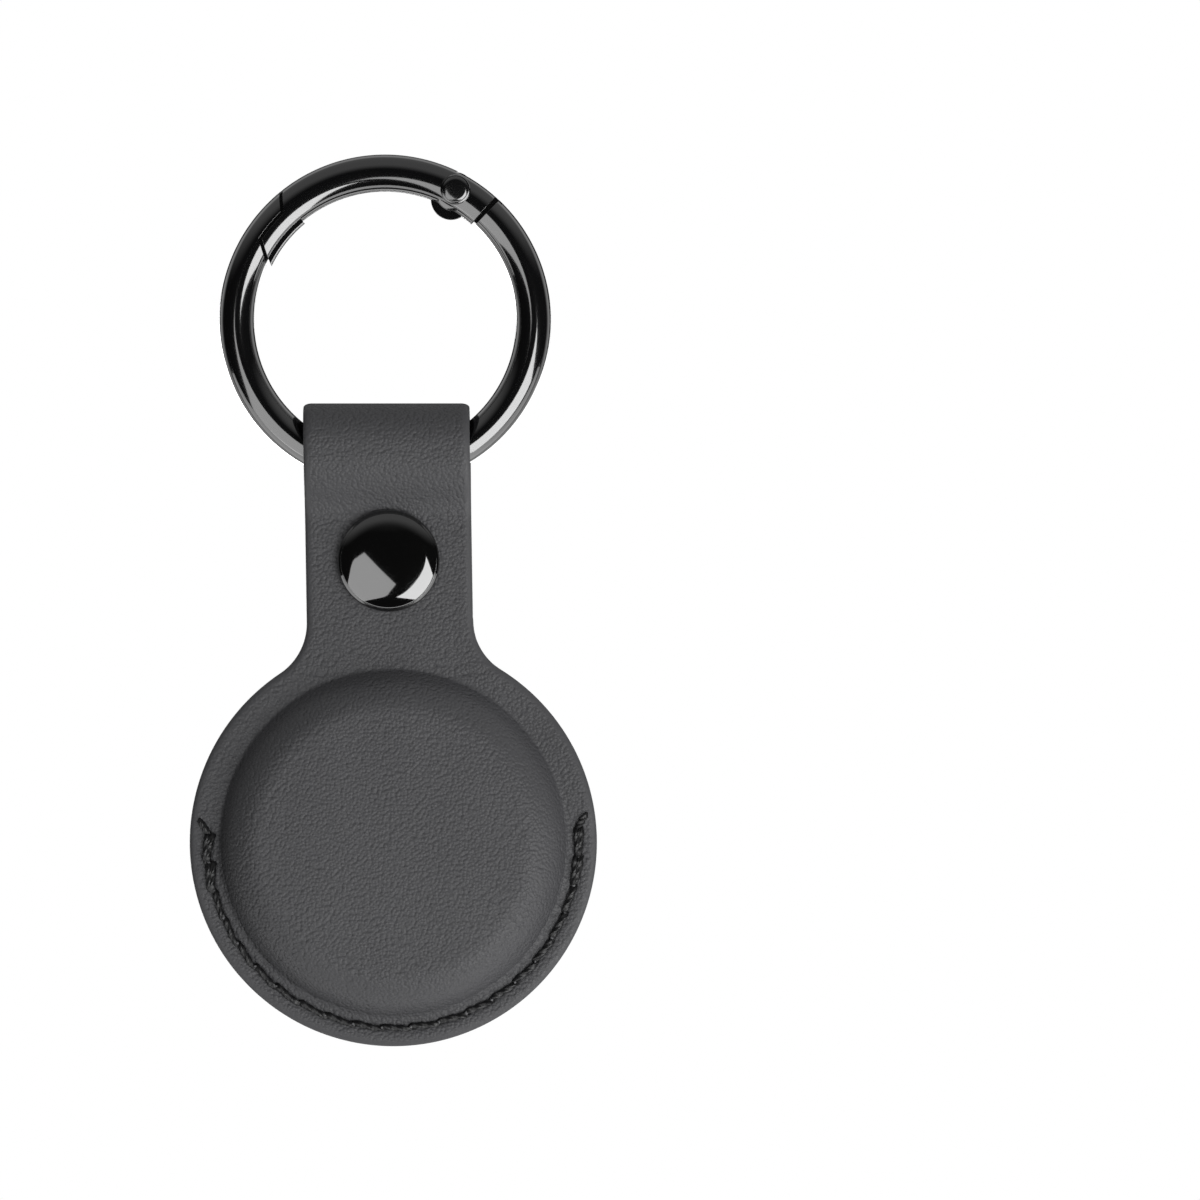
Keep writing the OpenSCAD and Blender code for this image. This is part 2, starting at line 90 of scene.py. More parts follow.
ring_low, ring_high = box_mm("ring_frame")
wire_r = ring_high[1]
ring_r = -ring_low[2] - wire_r
cap_low, cap_high = box_mm("front_cap")
snap_z = (cap_low[2] + cap_high[2]) / 2
cap_r = (cap_high[0] - cap_low[0]) / 2
front_low, front_high = box_mm("front_panel")
disc_r = (front_high[0] - front_low[0]) / 2
body_z = front_low[2] + disc_r
print("ring radius", ring_r, "snap at", snap_z, "body radius", disc_r, "at", body_z)

# The leather: an outer skin, glue and a lining. Half a gap is left between the two sheets
skin_t = 0.75
lining_t = 0.53
glue_t = 0.02
leather_t = skin_t + glue_t + lining_t
half_gap = 0.15
face_y = half_gap + leather_t

# The pocket: its seam, the foot of its wall inside the seam, its depth and its window
seam_inset = 1.85
foot_inset = 0.95
foot_bend = 0.4
seam_r = disc_r - seam_inset
foot_c = seam_r - foot_inset
foot_r = foot_bend + leather_t
pocket_depth = 4
window_r = 13.85

# The strap: its fillets into the body, and its fold, which hangs in the ring a little loose
strap_half = 8.3
neck_r = 6
fold_r = 2.75
fold_slack = 0.55
fold_start = 0.6
cap_overlap = 1.2
fold_drop = math.sqrt((ring_r - wire_r) ** 2 - strap_half ** 2) + fold_r - fold_slack
fold_low = snap_z + cap_r - cap_overlap
fold_high = -fold_drop - fold_start
folded_end = 5.6

# The tab: a little narrower than the strap, and held off it by the closed snap
tab_share = 0.98
tab_rise = 10.85
tab_bend = 3.2
socket_h = 1.65
snap_play = 0.1
stud_plate = 0.35
tab_r = tab_share * strap_half
tab_tip = snap_z + tab_rise
tab_y = face_y + glue_t + socket_h + snap_play + stud_plate
tab_out_y = fold_r + leather_t + 2 * half_gap
flap_rise = 1.9
flap_z = body_z + flap_rise

# %% [markdown]
# A bend in leather is an arc, and every point of it needs its normal too, because the sheet gets
# its thickness along the normals. Both sheets are described by their inner face: a path in side
# view for what bends, and a profile for the pocket, which is turned round the body's middle.

# %% The bends of the strap, the tab and the pocket
def bend(centre, radius, start, stop, side, steps=24):
    """An arc of a sheet: rows of two coordinates and the outward normal's two coordinates."""
    angle = np.radians(np.linspace(start, stop, steps + 1))
    c, s = np.cos(angle), np.sin(angle)
    return np.stack([centre[0] + radius * c, centre[1] + radius * s, side * c, side * s], axis=1)


def s_bend(y0, z0, y1, z1):
    """Two equal bends that carry a sheet from y0 at height z0 to y1 at height z1."""
    turn = 2 * math.degrees(math.atan((y1 - y0) / (z1 - z0)))
    radius = (z1 - z0) / 2 / math.sin(math.radians(turn))
    lower = bend((y0 + radius, z0), radius, 180, 180 - turn, -1)
    upper = bend((y1 - radius, z1), radius, -turn, 0, 1)
    return np.concatenate([lower, upper[1:]])


def mirrored(path):
    """The same bends on the front of the holder."""
    return path * np.array([-1, 1, -1, 1])


def measured(path, start):
    """The path with its running length in front, from a start value."""
    steps = np.linalg.norm(np.diff(path[:, :2], axis=0), axis=1)
    keep = np.concatenate([[True], steps > 1e-9])
    length = start + np.concatenate([[0], np.cumsum(steps)])
    return np.column_stack([length, path])[keep]


strap_side = s_bend(half_gap, fold_low, fold_r, fold_high)
sheet_low = body_z - 1.5 * disc_r
strap_path = measured(np.concatenate([
    [[-half_gap, sheet_low, -1, 0]],
    mirrored(strap_side),
    bend((0, -fold_drop), fold_r, 180, 0, 1, 60),
    strap_side[::-1],
    [[half_gap, snap_z - folded_end, 1, 0]]]), sheet_low - body_z)
tab_path = np.concatenate([
    [[half_gap, sheet_low, 1, 0]],
    s_bend(half_gap, body_z + foot_c, tab_y, snap_z - cap_r),
    s_bend(tab_y, snap_z + cap_r, tab_out_y, snap_z + cap_r + tab_bend),
    [[tab_out_y, tab_tip, 1, 0]]])
tab_path = np.column_stack([tab_path[:, 1] - body_z, tab_path])


def pocket(shoulder, slope):
    """Where a pocket's flat face ends, and its profile from there down to the flange."""
    turn = math.radians(slope)
    top = pocket_depth - shoulder * (1 - math.cos(turn))
    low = half_gap + foot_r * (1 - math.cos(turn))
    flat = foot_c - (foot_r + shoulder) * math.sin(turn) - (top - low) / math.tan(turn)
    return flat, np.concatenate([
        bend((flat, pocket_depth - shoulder), shoulder, 90, 90 - slope, 1, 16),
        bend((foot_c, half_gap + foot_r), foot_r, -90 - slope, -90, -1, 12)])


front_flat, front_profile = pocket(2.7, 66)
back_profile = pocket(1.2, 75)[1]
print("strap length", round(strap_path[-1, 0], 1), "mm, flat front radius", round(front_flat, 2))

# %% [markdown]
# The outline of both sheets is a disc that runs through two fillets into a strap. A sheet is
# laid out as one mesh: rings round the disc, a patch for the neck, and rows along the strap, with
# narrow bands that follow the whole outline, where the cut edge is rounded. No seam shows,
# because neighbours share their points.

# %% Give a sheet its points and faces
EDGE_BANDS = (0.45, 0.34, 0.25, 0.17, 0.11, 0.06, 0.025, 0.0)
BAND_START = 0.6
NECK_COLUMNS = 64
NECK_ROWS = 22
DISC_COLUMNS = 392
END_ROWS = 24
ROW_STEP = 0.3
WIDTH_CHANGE = 1.5
FAR = 99.0
fillet_x = strap_half + neck_r
fillet_h = math.sqrt((disc_r + neck_r) ** 2 - fillet_x ** 2)
touch = math.degrees(math.atan2(fillet_x, fillet_h))


def ramp(distance, over):
    """A share that grows from 0 at no distance to 1 over a given length, and stays there."""
    return np.clip(distance / over, 0, 1)


def follow(path, x, q):
    """Points and normals at a distance x across and q along a bent path."""
    y, z, ny, nz = (np.interp(q, path[:, 0], path[:, k]) for k in range(1, 5))
    length = np.hypot(ny, nz)
    points = np.stack([x, y, z], axis=-1)
    normals = np.stack([np.zeros_like(y), ny / length, nz / length], axis=-1)
    return points, normals


class Sheet:
    """Points of a sheet's inner face with their normals and edge distances, and its faces.
    In the flat sheet a point lies x across and q along, counted from the body's middle.
    side is -1 for the front and 1 for the back, which has the window and the round end."""

    def __init__(self, side, path, half, end_q):
        self.side, self.path, self.half, self.end_q = side, path, half, end_q
        self.rows, self.faces, self.size = [], [], 0

    def to_edge(self, x, q):
        """Distance of a flat point from the outline of disc, fillets and strap."""
        x = np.abs(x)
        from_centre = disc_r - np.hypot(x, q)
        from_fillet = np.hypot(fillet_x - x, fillet_h - q) - neck_r
        from_side = np.minimum(self.half - x, self.end_q - q)
        in_fillet = (np.degrees(np.arctan2(x, q)) < touch) & (q > 0)
        return np.where(q > fillet_h, from_side, np.where(in_fillet, from_fillet, from_centre))

    def add(self, points, normals, edge, cut=FAR):
        """Add points, and give back their numbers in the same layout."""
        cut = np.broadcast_to(cut, edge.shape)
        block = np.concatenate([points, normals, edge[..., None], cut[..., None]], axis=-1)
        self.rows.append(block.reshape(-1, 8))
        numbers = self.size + np.arange(edge.size).reshape(edge.shape)
        self.size += edge.size
        return numbers

    def lay(self, x, q, edge=None):
        """Add points at a distance x across and q along the sheet's path."""
        points, normals = follow(self.path, x, q)
        return self.add(points, normals, self.to_edge(x, q) if edge is None else edge)

    def weave(self, grid, closed=False):
        """Faces between neighbouring rows of point numbers."""
        other = np.roll(grid, -1, axis=1) if closed else grid[:, 1:]
        first = grid if closed else grid[:, :-1]
        quads = np.stack([first[:-1], other[:-1], other[1:], first[1:]], axis=-1).reshape(-1, 4)
        self.faces += quads.tolist()


print("the fillets meet the body", round(touch, 1), "degrees from the strap's middle")

# %% [markdown]
# The parts of a sheet are laid one after the other. While it is laid, each part notes its stops:
# points on the open side of the mesh, each with its place on the true outline and the direction
# that leads outwards there. The bands are then drawn from stop to stop. The right-hand side also
# names the point opposite, so that the left-hand side is its mirror image.

# %% Lay the round body
across = np.sin(np.radians(np.linspace(90, -90, NECK_COLUMNS + 1)))
round_rest = np.radians(np.linspace(90 + touch, 450 - touch, DISC_COLUMNS + 1))
round_neck = np.radians(90 - touch * across)
inner_r = disc_r - BAND_START
# Stations on the flange stand close together where the seam presses it
flange_radii = foot_c + np.array([
    0.3, 0.5, 0.62, 0.7, 0.77, 0.83, 0.89, 0.95, 1.01, 1.07, 1.13, 1.2, 1.3, 1.45, 1.7, 1.95])


def lay_disc(sheet, inner_radii, pressed):
    """The round body, in rings from the window or the middle outwards. Gives its last ring."""
    angle = np.concatenate([round_rest, round_neck[1:-1]])
    c, s = np.cos(angle), np.sin(angle)
    rings = []
    for r, h, nr, nh in [(r, pocket_depth, 0, 1) for r in inner_radii] + pressed.tolist():
        points = np.stack([r * c, np.full_like(c, sheet.side * h), body_z + r * s], axis=-1)
        normals = np.stack([nr * c, np.full_like(c, sheet.side * nh), nr * s], axis=-1)
        cut = r - window_r if sheet.side > 0 else FAR
        rings.append(sheet.add(points, normals, sheet.to_edge(r * c, r * s), cut))
    rings += [sheet.lay(r * c, r * s) for r in (*flange_radii, inner_r)]
    sheet.weave(np.array(rings), closed=True)
    if sheet.side < 0:
        # The middle of the front is closed by a fan round one point
        middle, straight_out = [[0, -pocket_depth, body_z]], [[0, -1, 0]]
        hub = sheet.add(np.array(middle), np.array(straight_out), np.array([FAR]))[0]
        pairs = zip(rings[0], np.roll(rings[0], -1))
        sheet.faces += [[int(hub), int(b), int(a)] for a, b in pairs]
    return rings[-1]


print("round body:", len(round_rest) + len(round_neck) - 2, "points in a ring")

# %% [markdown]
# The neck has four sides: the disc's arc below, the strap's first row above, and a fillet left
# and right. A patch that blends opposite sides, less what its corners counted twice, fills it.

# %% Lay the neck
def between(first, second, share):
    """Points at a share of the way from one to the other."""
    return (1 - share[..., None]) * first + share[..., None] * second


def lay_neck(sheet, rim):
    """A patch between the disc's arc, the two fillets and the strap's first row."""
    v = np.linspace(0, 1, NECK_ROWS + 1)[1:, None]
    u = ((1 - across) / 2)[None, :]
    turn = np.radians(180 + (90 - touch) * (1 - v))
    reach = neck_r + BAND_START
    right = np.stack([fillet_x + reach * np.cos(turn), fillet_h + reach * np.sin(turn)], axis=-1)
    left = right * np.array([-1, 1])
    bottom = inner_r * np.stack([np.cos(round_neck), np.sin(round_neck)], axis=-1)[None]
    top_x = (strap_half - BAND_START) * across
    top = np.stack([top_x, np.full_like(across, fillet_h)], axis=-1)[None]
    low_corners = between(bottom[:, :1], bottom[:, -1:], u)
    high_corners = between(top[:, :1], top[:, -1:], u)
    patch = between(bottom, top, v) + between(right, left, u)
    patch = patch - between(low_corners, high_corners, v)
    grid = sheet.lay(patch[..., 0], patch[..., 1])
    stops = [(row[0], row[-1], fillet_x + neck_r * math.cos(t), fillet_h + neck_r * math.sin(t),
              -math.cos(t), -math.sin(t)) for row, t in zip(grid, turn[:-1, 0])]
    stops.append((grid[-1, 0], grid[-1, -1], strap_half, fillet_h, 1, 0))
    arc = np.concatenate([rim[DISC_COLUMNS:], rim[:1]])
    return np.concatenate([arc[None], grid]), stops


print("neck:", NECK_ROWS, "rows of", NECK_COLUMNS, "faces")

# %% [markdown]
# The strap ends square behind the snap, where its end isn't seen. The tab ends round, with rows
# that meet at its two sides like the lines of longitude on a globe.

# %% Lay the strap and the tab's round end
def lay_strap(sheet, rows):
    """Rows along the strap, which comes to its own half width over the first of them."""
    share = ramp(rows - fillet_h, over=WIDTH_CHANGE)
    half_at = strap_half + (sheet.half - strap_half) * share
    x = (half_at - BAND_START)[:, None] * across[None]
    grid = sheet.lay(x, np.repeat(rows[:, None], len(across), axis=1))
    return grid, [(row[0], row[-1], h, q, 1, 0) for row, h, q in zip(grid, half_at, rows)]


def lay_round_end(sheet, last_row):
    """The round end of the tab, in rows that meet at its two sides."""
    theta = np.radians(np.linspace(0, 180, NECK_COLUMNS + 1))
    lift = np.linspace(0, 1, END_ROWS)[1:, None]
    r = tab_r - BAND_START
    centre_q = sheet.end_q - tab_r
    x = r * np.cos(theta)[None] * np.ones_like(lift)
    q = centre_q + lift * r * np.sin(theta)[None]
    grid = sheet.lay(x, q, tab_r - np.hypot(x, q - centre_q))
    grid[:, 0], grid[:, -1] = last_row[0], last_row[-1]
    stops = [(n, tab_r * math.cos(t), centre_q + tab_r * math.sin(t), math.cos(t), math.sin(t))
             for n, t in zip(grid[-1], theta)]
    return grid, stops[1:-1]


print("rows along a strap:", ROW_STEP, "mm apart")

# %% [markdown]
# Last come the bands that follow the whole outline. They are crowded at the edge, because the
# cut edge gets its rounding there, and the front and the back are laid by the same function.

# %% Lay out both sheets
def lay_out(sheet, rows, inner_radii, pressed):
    """One sheet: disc, neck, strap and end, and the narrow bands all round them."""
    rim = lay_disc(sheet, inner_radii, pressed)
    neck, right = lay_neck(sheet, rim)
    strap, strap_stops = lay_strap(sheet, rows)
    right += strap_stops
    parts = [neck, strap]
    if sheet.side > 0:
        end, end_stops = lay_round_end(sheet, strap[-1])
        parts.append(end)
    else:
        corners = zip(strap[-1][1:-1], across[1:-1])
        end_stops = [(n, sheet.half * a, sheet.end_q, a, 1) for n, a in corners]
        right[-1] = (*right[-1][:2], sheet.half, sheet.end_q, 1, 1)
    sheet.weave(np.concatenate(parts))
    stops = [(n, disc_r * math.cos(a), disc_r * math.sin(a), math.cos(a), math.sin(a))
             for n, a in zip(rim, round_rest)]
    stops += [(n, *rest) for n, _, *rest in right] + end_stops
    stops += [(n, -x, q, -dx, dy) for _, n, x, q, dx, dy in reversed(right)]
    stops = np.array(stops, dtype=float)
    bands = [stops[:, 0].astype(int)]
    for e in EDGE_BANDS:
        x, q = stops[:, 1] - e * stops[:, 3], stops[:, 2] - e * stops[:, 4]
        bands.append(sheet.lay(x, q, np.full_like(x, e)))
    sheet.weave(np.array(bands), closed=True)
    table = np.concatenate(sheet.rows)
    sheet.points, sheet.normals = table[:, :3], table[:, 3:6]
    sheet.edge, sheet.cut = table[:, 6], table[:, 7]


strap_end = strap_path[-1, 0]
front_rows = [fillet_h]
while front_rows[-1] < strap_end - BAND_START - ROW_STEP:
    front_rows.append(front_rows[-1] + ROW_STEP)
front_rows = np.array(front_rows[1:] + [strap_end - BAND_START])
front_radii = [0.8, 2, 3.5, 5, 6.5, 8, 9.3, 10.3, 11.2, 11.9, 12.4]
front = Sheet(-1, strap_path, strap_half, strap_end)
lay_out(front, front_rows, front_radii, front_profile)

tab_run = measured(tab_path[:, 1:], 0)
tab_first, tab_last = np.interp([body_z + fillet_h, tab_tip - tab_r], tab_path[:, 2], tab_run[:, 0])
tab_lengths = np.arange(tab_first + ROW_STEP, tab_last, ROW_STEP)
tab_rows = np.interp(tab_lengths, tab_run[:, 0], tab_path[:, 0])
tab_rows[-1] = tab_tip - tab_r - body_z
window_radii = window_r + np.array([0, 0.02, 0.05, 0.1, 0.17, 0.25, 0.35])
back = Sheet(1, tab_path, tab_r, tab_tip - body_z)
lay_out(back, tab_rows, window_radii, back_profile)
print("front sheet", front.size, "points, back sheet", back.size, "points")

# %% [markdown]
# Real leather is never quite flat. A slow ripple of a few hundredths of a millimetre makes the
# light break on it as it does in the hand. Pressing and sewing leave their marks too: the seam
# sits in a shallow groove with a dimple at each needle hole, and the front has fine creases
# where the pocket was pressed out under the strap.

# %% Marks in the leather
STITCHES = 21
SEAM_RISE, GROOVE_WIDTH, HOLE_WIDTH, CREASE_FADE = 1.2, 0.34, 0.24, 1.2
WAVES = (31, 19, 12, 7.5)
seam_end = math.degrees(math.asin(SEAM_RISE / seam_r))
stitch_angle = (180 + 2 * seam_end) / STITCHES
holes = np.radians(seam_end - stitch_angle * np.arange(STITCHES + 1))
hole_points = seam_r * np.stack([np.cos(holes), np.sin(holes)], axis=1)


def ripple(x, z, seed, size):
    """A smooth, repeatable unevenness of about the given size."""
    random = np.random.default_rng(seed)
    total = np.zeros_like(x)
    for length in WAVES:
        turn, phase = random.uniform(0, 2 * math.pi, 2)
        total += np.sin((x * math.cos(turn) + z * math.sin(turn)) * 2 * math.pi / length + phase)
    return total * size / 2


def seam_marks(points, groove, hole, half_length):
    """How deep the seam and its needle holes press the leather at each point."""
    x, z = points[:, 0], points[:, 2] - body_z
    off = np.hypot(x, z) - seam_r
    along = ramp(SEAM_RISE + 0.4 - z, over=0.6)
    pressed = groove * np.exp(-(off / GROOVE_WIDTH) ** 2) * along
    near = np.abs(off) < 5 * HOLE_WIDTH
    pit_with_painted_shadow = np.zeros_like(x)
    for (hx, hz), angle in zip(hole_points, holes):
        dx, dz = x[near] - hx, z[near] - hz
        run = (-dx * math.sin(angle) + dz * math.cos(angle)) / half_length
        side = (dx * math.cos(angle) + dz * math.sin(angle)) / HOLE_WIDTH
        pit_with_painted_shadow[near] = np.maximum(pit_with_painted_shadow[near], np.exp(-(run ** 4 + side ** 4)))
    # The pit mask sinks the needle holes, and is also handed on to paint shadow into them
    return pressed + hole * pit_with_painted_shadow, pit_with_painted_shadow


def crease(points, line, depth, width):
    """A groove along a line of (x, z) points that fades at both ends."""
    line = np.array(line, dtype=float)
    x, z = points[:, 0], points[:, 2]
    middle = np.interp(x, line[:, 0], line[:, 1])
    ends = ramp(np.minimum(x - line[0, 0], line[-1, 0] - x), over=CREASE_FADE)
    return depth * ends * np.exp(-((z - middle) / width) ** 2)


# Each crease has its points, its depth and its width
bulge_top = body_z + foot_c
front_creases = [
    ([(5.5, bulge_top - 1.15), (8, bulge_top - 0.75), (10.5, bulge_top - 0.25)], 0.1, 0.13),
    ([(3.0, bulge_top + 0.12), (6, bulge_top + 0.05), (9.8, bulge_top + 0.55)], 0.07, 0.12),
    ([(-10.2, bulge_top + 0.1), (-8, bulge_top - 0.55), (-5.2, bulge_top - 0.5)], 0.08, 0.13)]
print(len(hole_points), "needle holes,", len(front_creases), "creases")

# %% [markdown]
# A layer of the sheet becomes a closed solid: its outer face, its inner face, and walls along
# every open edge. The corners of the cut edges are rounded by lowering the faces along an arc,
# as burnishing does. Skin and lining are two layers of the same sheet, so they fit each other
# at every bend.

# %% Turn a sheet into solid layers of leather
WINDOW_CORNER, INNER_CORNER, INNER_WINDOW_CORNER = 0.22, 0.12, 0.08
BARE_EDGE, TUCK_REACH = 0.15, 0.45


def rounding(distance, depth, width=None):
    """How far a face drops at a distance from the cut edge, for a round corner."""
    inside = np.clip(1 - distance / (width or depth), 0, 1)
    return depth * (1 - np.sqrt(1 - inside ** 2))


def placed(name, data):
    """A new object of the scene, at the origin."""
    piece = bpy.data.objects.new(name, data)
    bpy.context.scene.collection.objects.link(piece)
    return piece


def new_mesh(name, points, faces):
    """A smooth mesh object at the origin, from points in millimetres."""
    mesh = bpy.data.meshes.new(name)
    mesh.from_pydata((np.asarray(points, dtype=float) * MM).tolist(), [], faces)
    mesh.update()
    mesh.shade_smooth()
    return placed(name, mesh)


def distinct(face):
    """The corners of a face without repeats."""
    return [n for k, n in enumerate(face) if n != face[k - 1]]


def layer(name, sheet, inner, outer, corner, marks=0, painted_pit_shadow=0, tuck=0):
    """A layer between two depths of a sheet. marks lowers its outer face, the pit mask paints
    shadow into the needle holes as near black colour, and tuck narrows its window."""
    drop = rounding(sheet.edge, corner, 2 * corner)
    drop = np.maximum(drop, rounding(sheet.cut, WINDOW_CORNER)) + marks
    under = rounding(sheet.edge, INNER_CORNER)
    under = np.maximum(under, rounding(sheet.cut, INNER_WINDOW_CORNER))
    share = np.clip(1 - sheet.cut / TUCK_REACH, 0, 1) * tuck / window_r
    from_middle = (sheet.points - [0, 0, body_z]) * [1, 0, 1]
    inner_face = sheet.points - from_middle * share[:, None]
    top = inner_face + sheet.normals * (outer - drop)[:, None]
    bottom = inner_face + sheet.normals * (inner + under)[:, None]
    faces = [f for f in (distinct(f) for f in sheet.faces) if len(f) > 2]
    faces = faces if sheet.side > 0 else [f[::-1] for f in faces]
    count = sheet.size
    edges = {(f[k - 1], f[k]) for f in faces for k in range(len(f))}
    rim = sorted((p, q) for p, q in edges if (q, p) not in edges)
    walls = [[q, p, p + count, q + count] for p, q in rim]
    under_faces = [[n + count for n in reversed(f)] for f in faces]
    piece = new_mesh(name, np.concatenate([top, bottom]), faces + under_faces + walls)
    # Slots: 0 is the face, 1 the burnished outer edge, 2 the raw edge of the window
    bare = [2 if max(sheet.cut[n] for n in f) < BARE_EDGE else 0 for f in faces]
    index = bare + bare + [2 if sheet.cut[p] < 0.5 else 1 for p, _ in rim]
    piece.data.polygons.foreach_set("material_index", index)
    # The pit mask becomes an attribute that paints shadow, near black, into the needle holes
    painted_pit_shadow = np.zeros(count) + painted_pit_shadow
    for title, values in (("edge_mm", np.minimum(sheet.edge, sheet.cut)), ("pit_with_painted_shadow", painted_pit_shadow)):
        shade = piece.data.attributes.new(title, "FLOAT", "POINT")
        shade.data.foreach_set("value", np.concatenate([values, values]).astype(np.float32))
    piece.data.update()
    return piece


# %% [markdown]
# The sheets are now settled, as handling and sewing do it: they get their ripple, the seam
# presses them together, and the fold sits a little out of square. Then skin and lining are made.

# %% Settle the sheets and make their layers
FOLD_SKEW = math.radians(0.9)
RIPPLE_H = 0.035
SEWN_WIDTH, PRESSED = 3.6, half_gap - 0.005
CROWN_FALL = 0.3


def settle(sheet, seed):
    """Give a sheet its ripple, which fades where hardware sits on it, its press and its skew."""
    x, z = sheet.points[:, 0], sheet.points[:, 2]
    off_cap = ramp(np.hypot(x, z - snap_z) - cap_r, over=4)
    off_fold = ramp(-fold_drop - 1 - z, over=3)
    rise = ripple(x, z, seed, RIPPLE_H) * off_cap * off_fold
    sheet.points = sheet.points + sheet.normals * rise[:, None]
    # Sewing presses the two sheets together all along the seam
    sewn = ramp(SEWN_WIDTH - sheet.edge, over=1.5) * ramp(body_z + 3 - z, over=2.5)
    sheet.points[:, 1] -= sheet.side * PRESSED * sewn
    # The fold runs a little out of square with the strap
    near_fold = ramp(z - fold_low, over=-fold_drop - fold_low)
    sheet.points[:, 2] -= x * math.tan(FOLD_SKEW) * near_fold


settle(front, 3)
settle(back, 8)
# The pocket's flat face falls a little towards its rim
from_middle = np.hypot(front.points[:, 0], front.points[:, 2] - body_z)
crown = ramp(from_middle, over=front_flat + 2)
on_top = ramp(-front.points[:, 1] - 1.2, over=2.4)
# Each seam gives its marks and the mask where shadow is painted into its needle holes
front_marks, front_painted_pit_shadow = seam_marks(front.points, 0.16, 0.1, 0.3)
front_marks += CROWN_FALL * crown ** 3 * on_top
on_flange = np.abs(front.points[:, 1]) < 1
for line, depth, width in front_creases:
    front_marks += np.where(on_flange, crease(front.points, line, depth, width), 0)
back_marks, back_painted_pit_shadow = seam_marks(back.points, 0.1, 0.42, 0.62)
skin_in = lining_t + glue_t
front_skin = layer("front_leather", front, skin_in, leather_t, 0.42, front_marks, front_painted_pit_shadow)
front_inside = layer("front_lining_sheet", front, 0, lining_t, INNER_CORNER)
back_skin = layer("back_leather", back, skin_in, leather_t, 0.36, back_marks, back_painted_pit_shadow)
back_inside = layer("back_lining_sheet", back, 0, lining_t, INNER_CORNER, tuck=0.3)
for piece in (front_skin, front_inside, back_skin, back_inside):
    print(piece.name, len(piece.data.polygons), "faces")

# %% [markdown]
# Each finish is a small tree of nodes. A few helpers serve them all: one turns a colour that is
# read off the object into the linear values that the shader wants, one feeds a node's inputs, and
# one adds a node with its settings and links. Every pattern gets its scale from a real size in
# millimetres.

# %% Helpers for finishes
def linear(code):
    """An sRGB hex colour as linear values."""
    values = [int(code[k:k + 2], 16) / 255 for k in (1, 3, 5)]
    return [v / 12.92 if v <= 0.04045 else ((v + 0.055) / 1.055) ** 2.4 for v in values] + [1]


def feed(tree, node, inputs):
    """Give a node's inputs their values or links. A node stands for its first output."""
    for name, value in inputs.items():
        if isinstance(value, bpy.types.Node):
            value = value.outputs[0]
        if isinstance(value, bpy.types.NodeSocket):
            tree.links.new(value, node.inputs[name])
        else:
            node.inputs[name].default_value = value


def add(tree, kind, *values, **settings):
    """Add a node. Its inputs come in their order, or in one dict with their names."""
    node = tree.nodes.new(kind)
    for name, value in settings.items():
        setattr(node, name, value)
    named = values[0] if values and isinstance(values[0], dict) else dict(enumerate(values))
    feed(tree, node, named)
    return node


def blank(name, rough, specular=0.5):
    """A new finish: its material, its tree and its shader."""
    material = bpy.data.materials.new(name)
    material.use_nodes = True
    tree = material.node_tree
    shader = tree.nodes["Principled BSDF"]
    feed(tree, shader, {"Roughness": rough, "Specular IOR Level": specular})
    return material, tree, shader


print("#808080 in linear values:", [round(v, 3) for v in linear("#808080")])

# %% [markdown]
# The outer face is coated split leather: a thin film of polyurethane embossed with a fine pebble.
# The film is matte, so it shows each pebble as a soft speck of light. The real grain is near the
# limit of what the picture shows, so it is drawn 0.3 mm wide. The embossing is pressed flat along
# the burnished edges, which is why an attribute of the mesh, the distance from the edge, fades
# it there. The lining is a darker film with a coarser grain.

# %% Leather, its lining and its edges
CLOUD = 7.0
# Near black, painted into the needle holes as their shadow
PAINTED_HOLE_SHADOW = linear("#040404")


